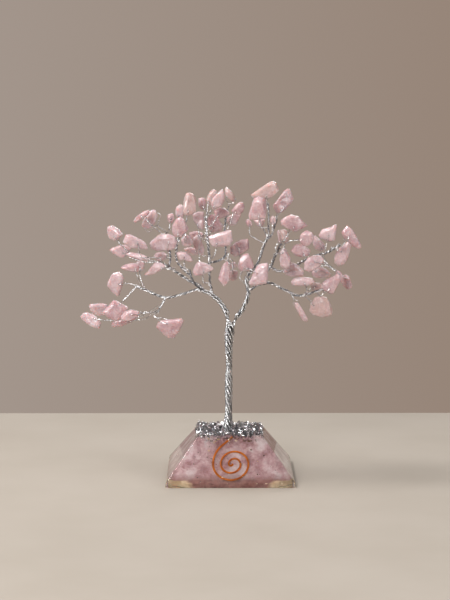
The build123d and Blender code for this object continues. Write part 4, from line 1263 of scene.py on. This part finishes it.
def shaving(middle, axis, radius, turns, rise, width, start):
    """One curled ribbon as a closed strip: points and faces."""
    axis = axis / np.linalg.norm(axis)
    side = np.cross(axis, (0.3, 0.5, 0.8))
    side /= np.linalg.norm(side)
    up = np.cross(axis, side)
    count = max(5, int(turns * 10))
    points = []
    for index in range(count + 1):
        share = index / count
        angle = start + 2 * pi * turns * share
        out = cos(angle) * side + sin(angle) * up
        spot = middle + out * radius * (1 - 0.25 * share) + axis * rise * (share - 0.5)
        points += [spot + axis * width / 2 + out * THICK / 2, spot - axis * width / 2 + out * THICK / 2,
                   spot - axis * width / 2 - out * THICK / 2, spot + axis * width / 2 - out * THICK / 2]
    faces = [(0, 1, 2, 3)]
    for index in range(count):
        low = 4 * index
        faces += [(low + k, low + 4 + k, low + 4 + (k + 1) % 4, low + (k + 1) % 4) for k in range(4)]
    faces.append(tuple(4 * count + k for k in (3, 2, 1, 0)))
    return np.array(points), faces


points, faces, choice, total = [], [], [], 0
for number in range(SHAVINGS + SUNK_SHAVINGS):
    axis = np.array([random.gauss(0, 1), random.gauss(0, 1), random.gauss(0, 0.55)])
    curl, curl_faces = shaving(np.zeros(3), axis, radius=random.uniform(0.3, 0.8),
                               turns=random.uniform(0.4, 1.3), rise=random.uniform(0.3, 1.3),
                               width=random.uniform(0.25, 0.45), start=random.uniform(0, 2 * pi))
    lift = random.choice(LIFTS)
    if number < SHAVINGS:
        x = random.uniform(-TOP_SIDE / 2 - 1.1, TOP_SIDE / 2 + 0.3)
        y = random.uniform(-TOP_SIDE / 2 - 0.9, TOP_SIDE / 2 + 0.2)
        overhang = max(0.0, abs(x) - TOP_SIDE / 2, abs(y) - TOP_SIDE / 2)
        curl += np.array([x, y, BASE_HEIGHT - curl[:, 2].min() + lift - OVERHANG_DROP * overhang])
    else:
        curl = curl * SUNK_SIZE + np.array([random.gauss(-1.5, 1.9), random.uniform(-16.6, -15.9),
                                            random.uniform(21.0, 22.4)])
    points.append(curl)
    faces += [tuple(total + corner for corner in face) for face in curl_faces]
    # Painted shade: the dark copy of the metal, mostly on the lowest shavings.
    painted_shade = random.random() < (LOW_SHADED if lift < SHADED_BELOW else HIGH_SHADED)
    choice += [int(painted_shade)] * len(curl_faces)
    total += len(curl)
new_piece("curled_shavings", np.concatenate(points), faces, [shavings_metal, shavings_painted_shade],
          replaced=["metal_shavings"], choice=choice, smooth=False)
print("shavings", SHAVINGS, "points", total)

# %% [markdown]
# ## Finish
# Blender's own first cube, lamp and camera go.

# %% Finish
for name in ("Cube", "Light", "Camera"):
    if name in bpy.data.objects:
        bpy.data.objects.remove(bpy.data.objects[name])
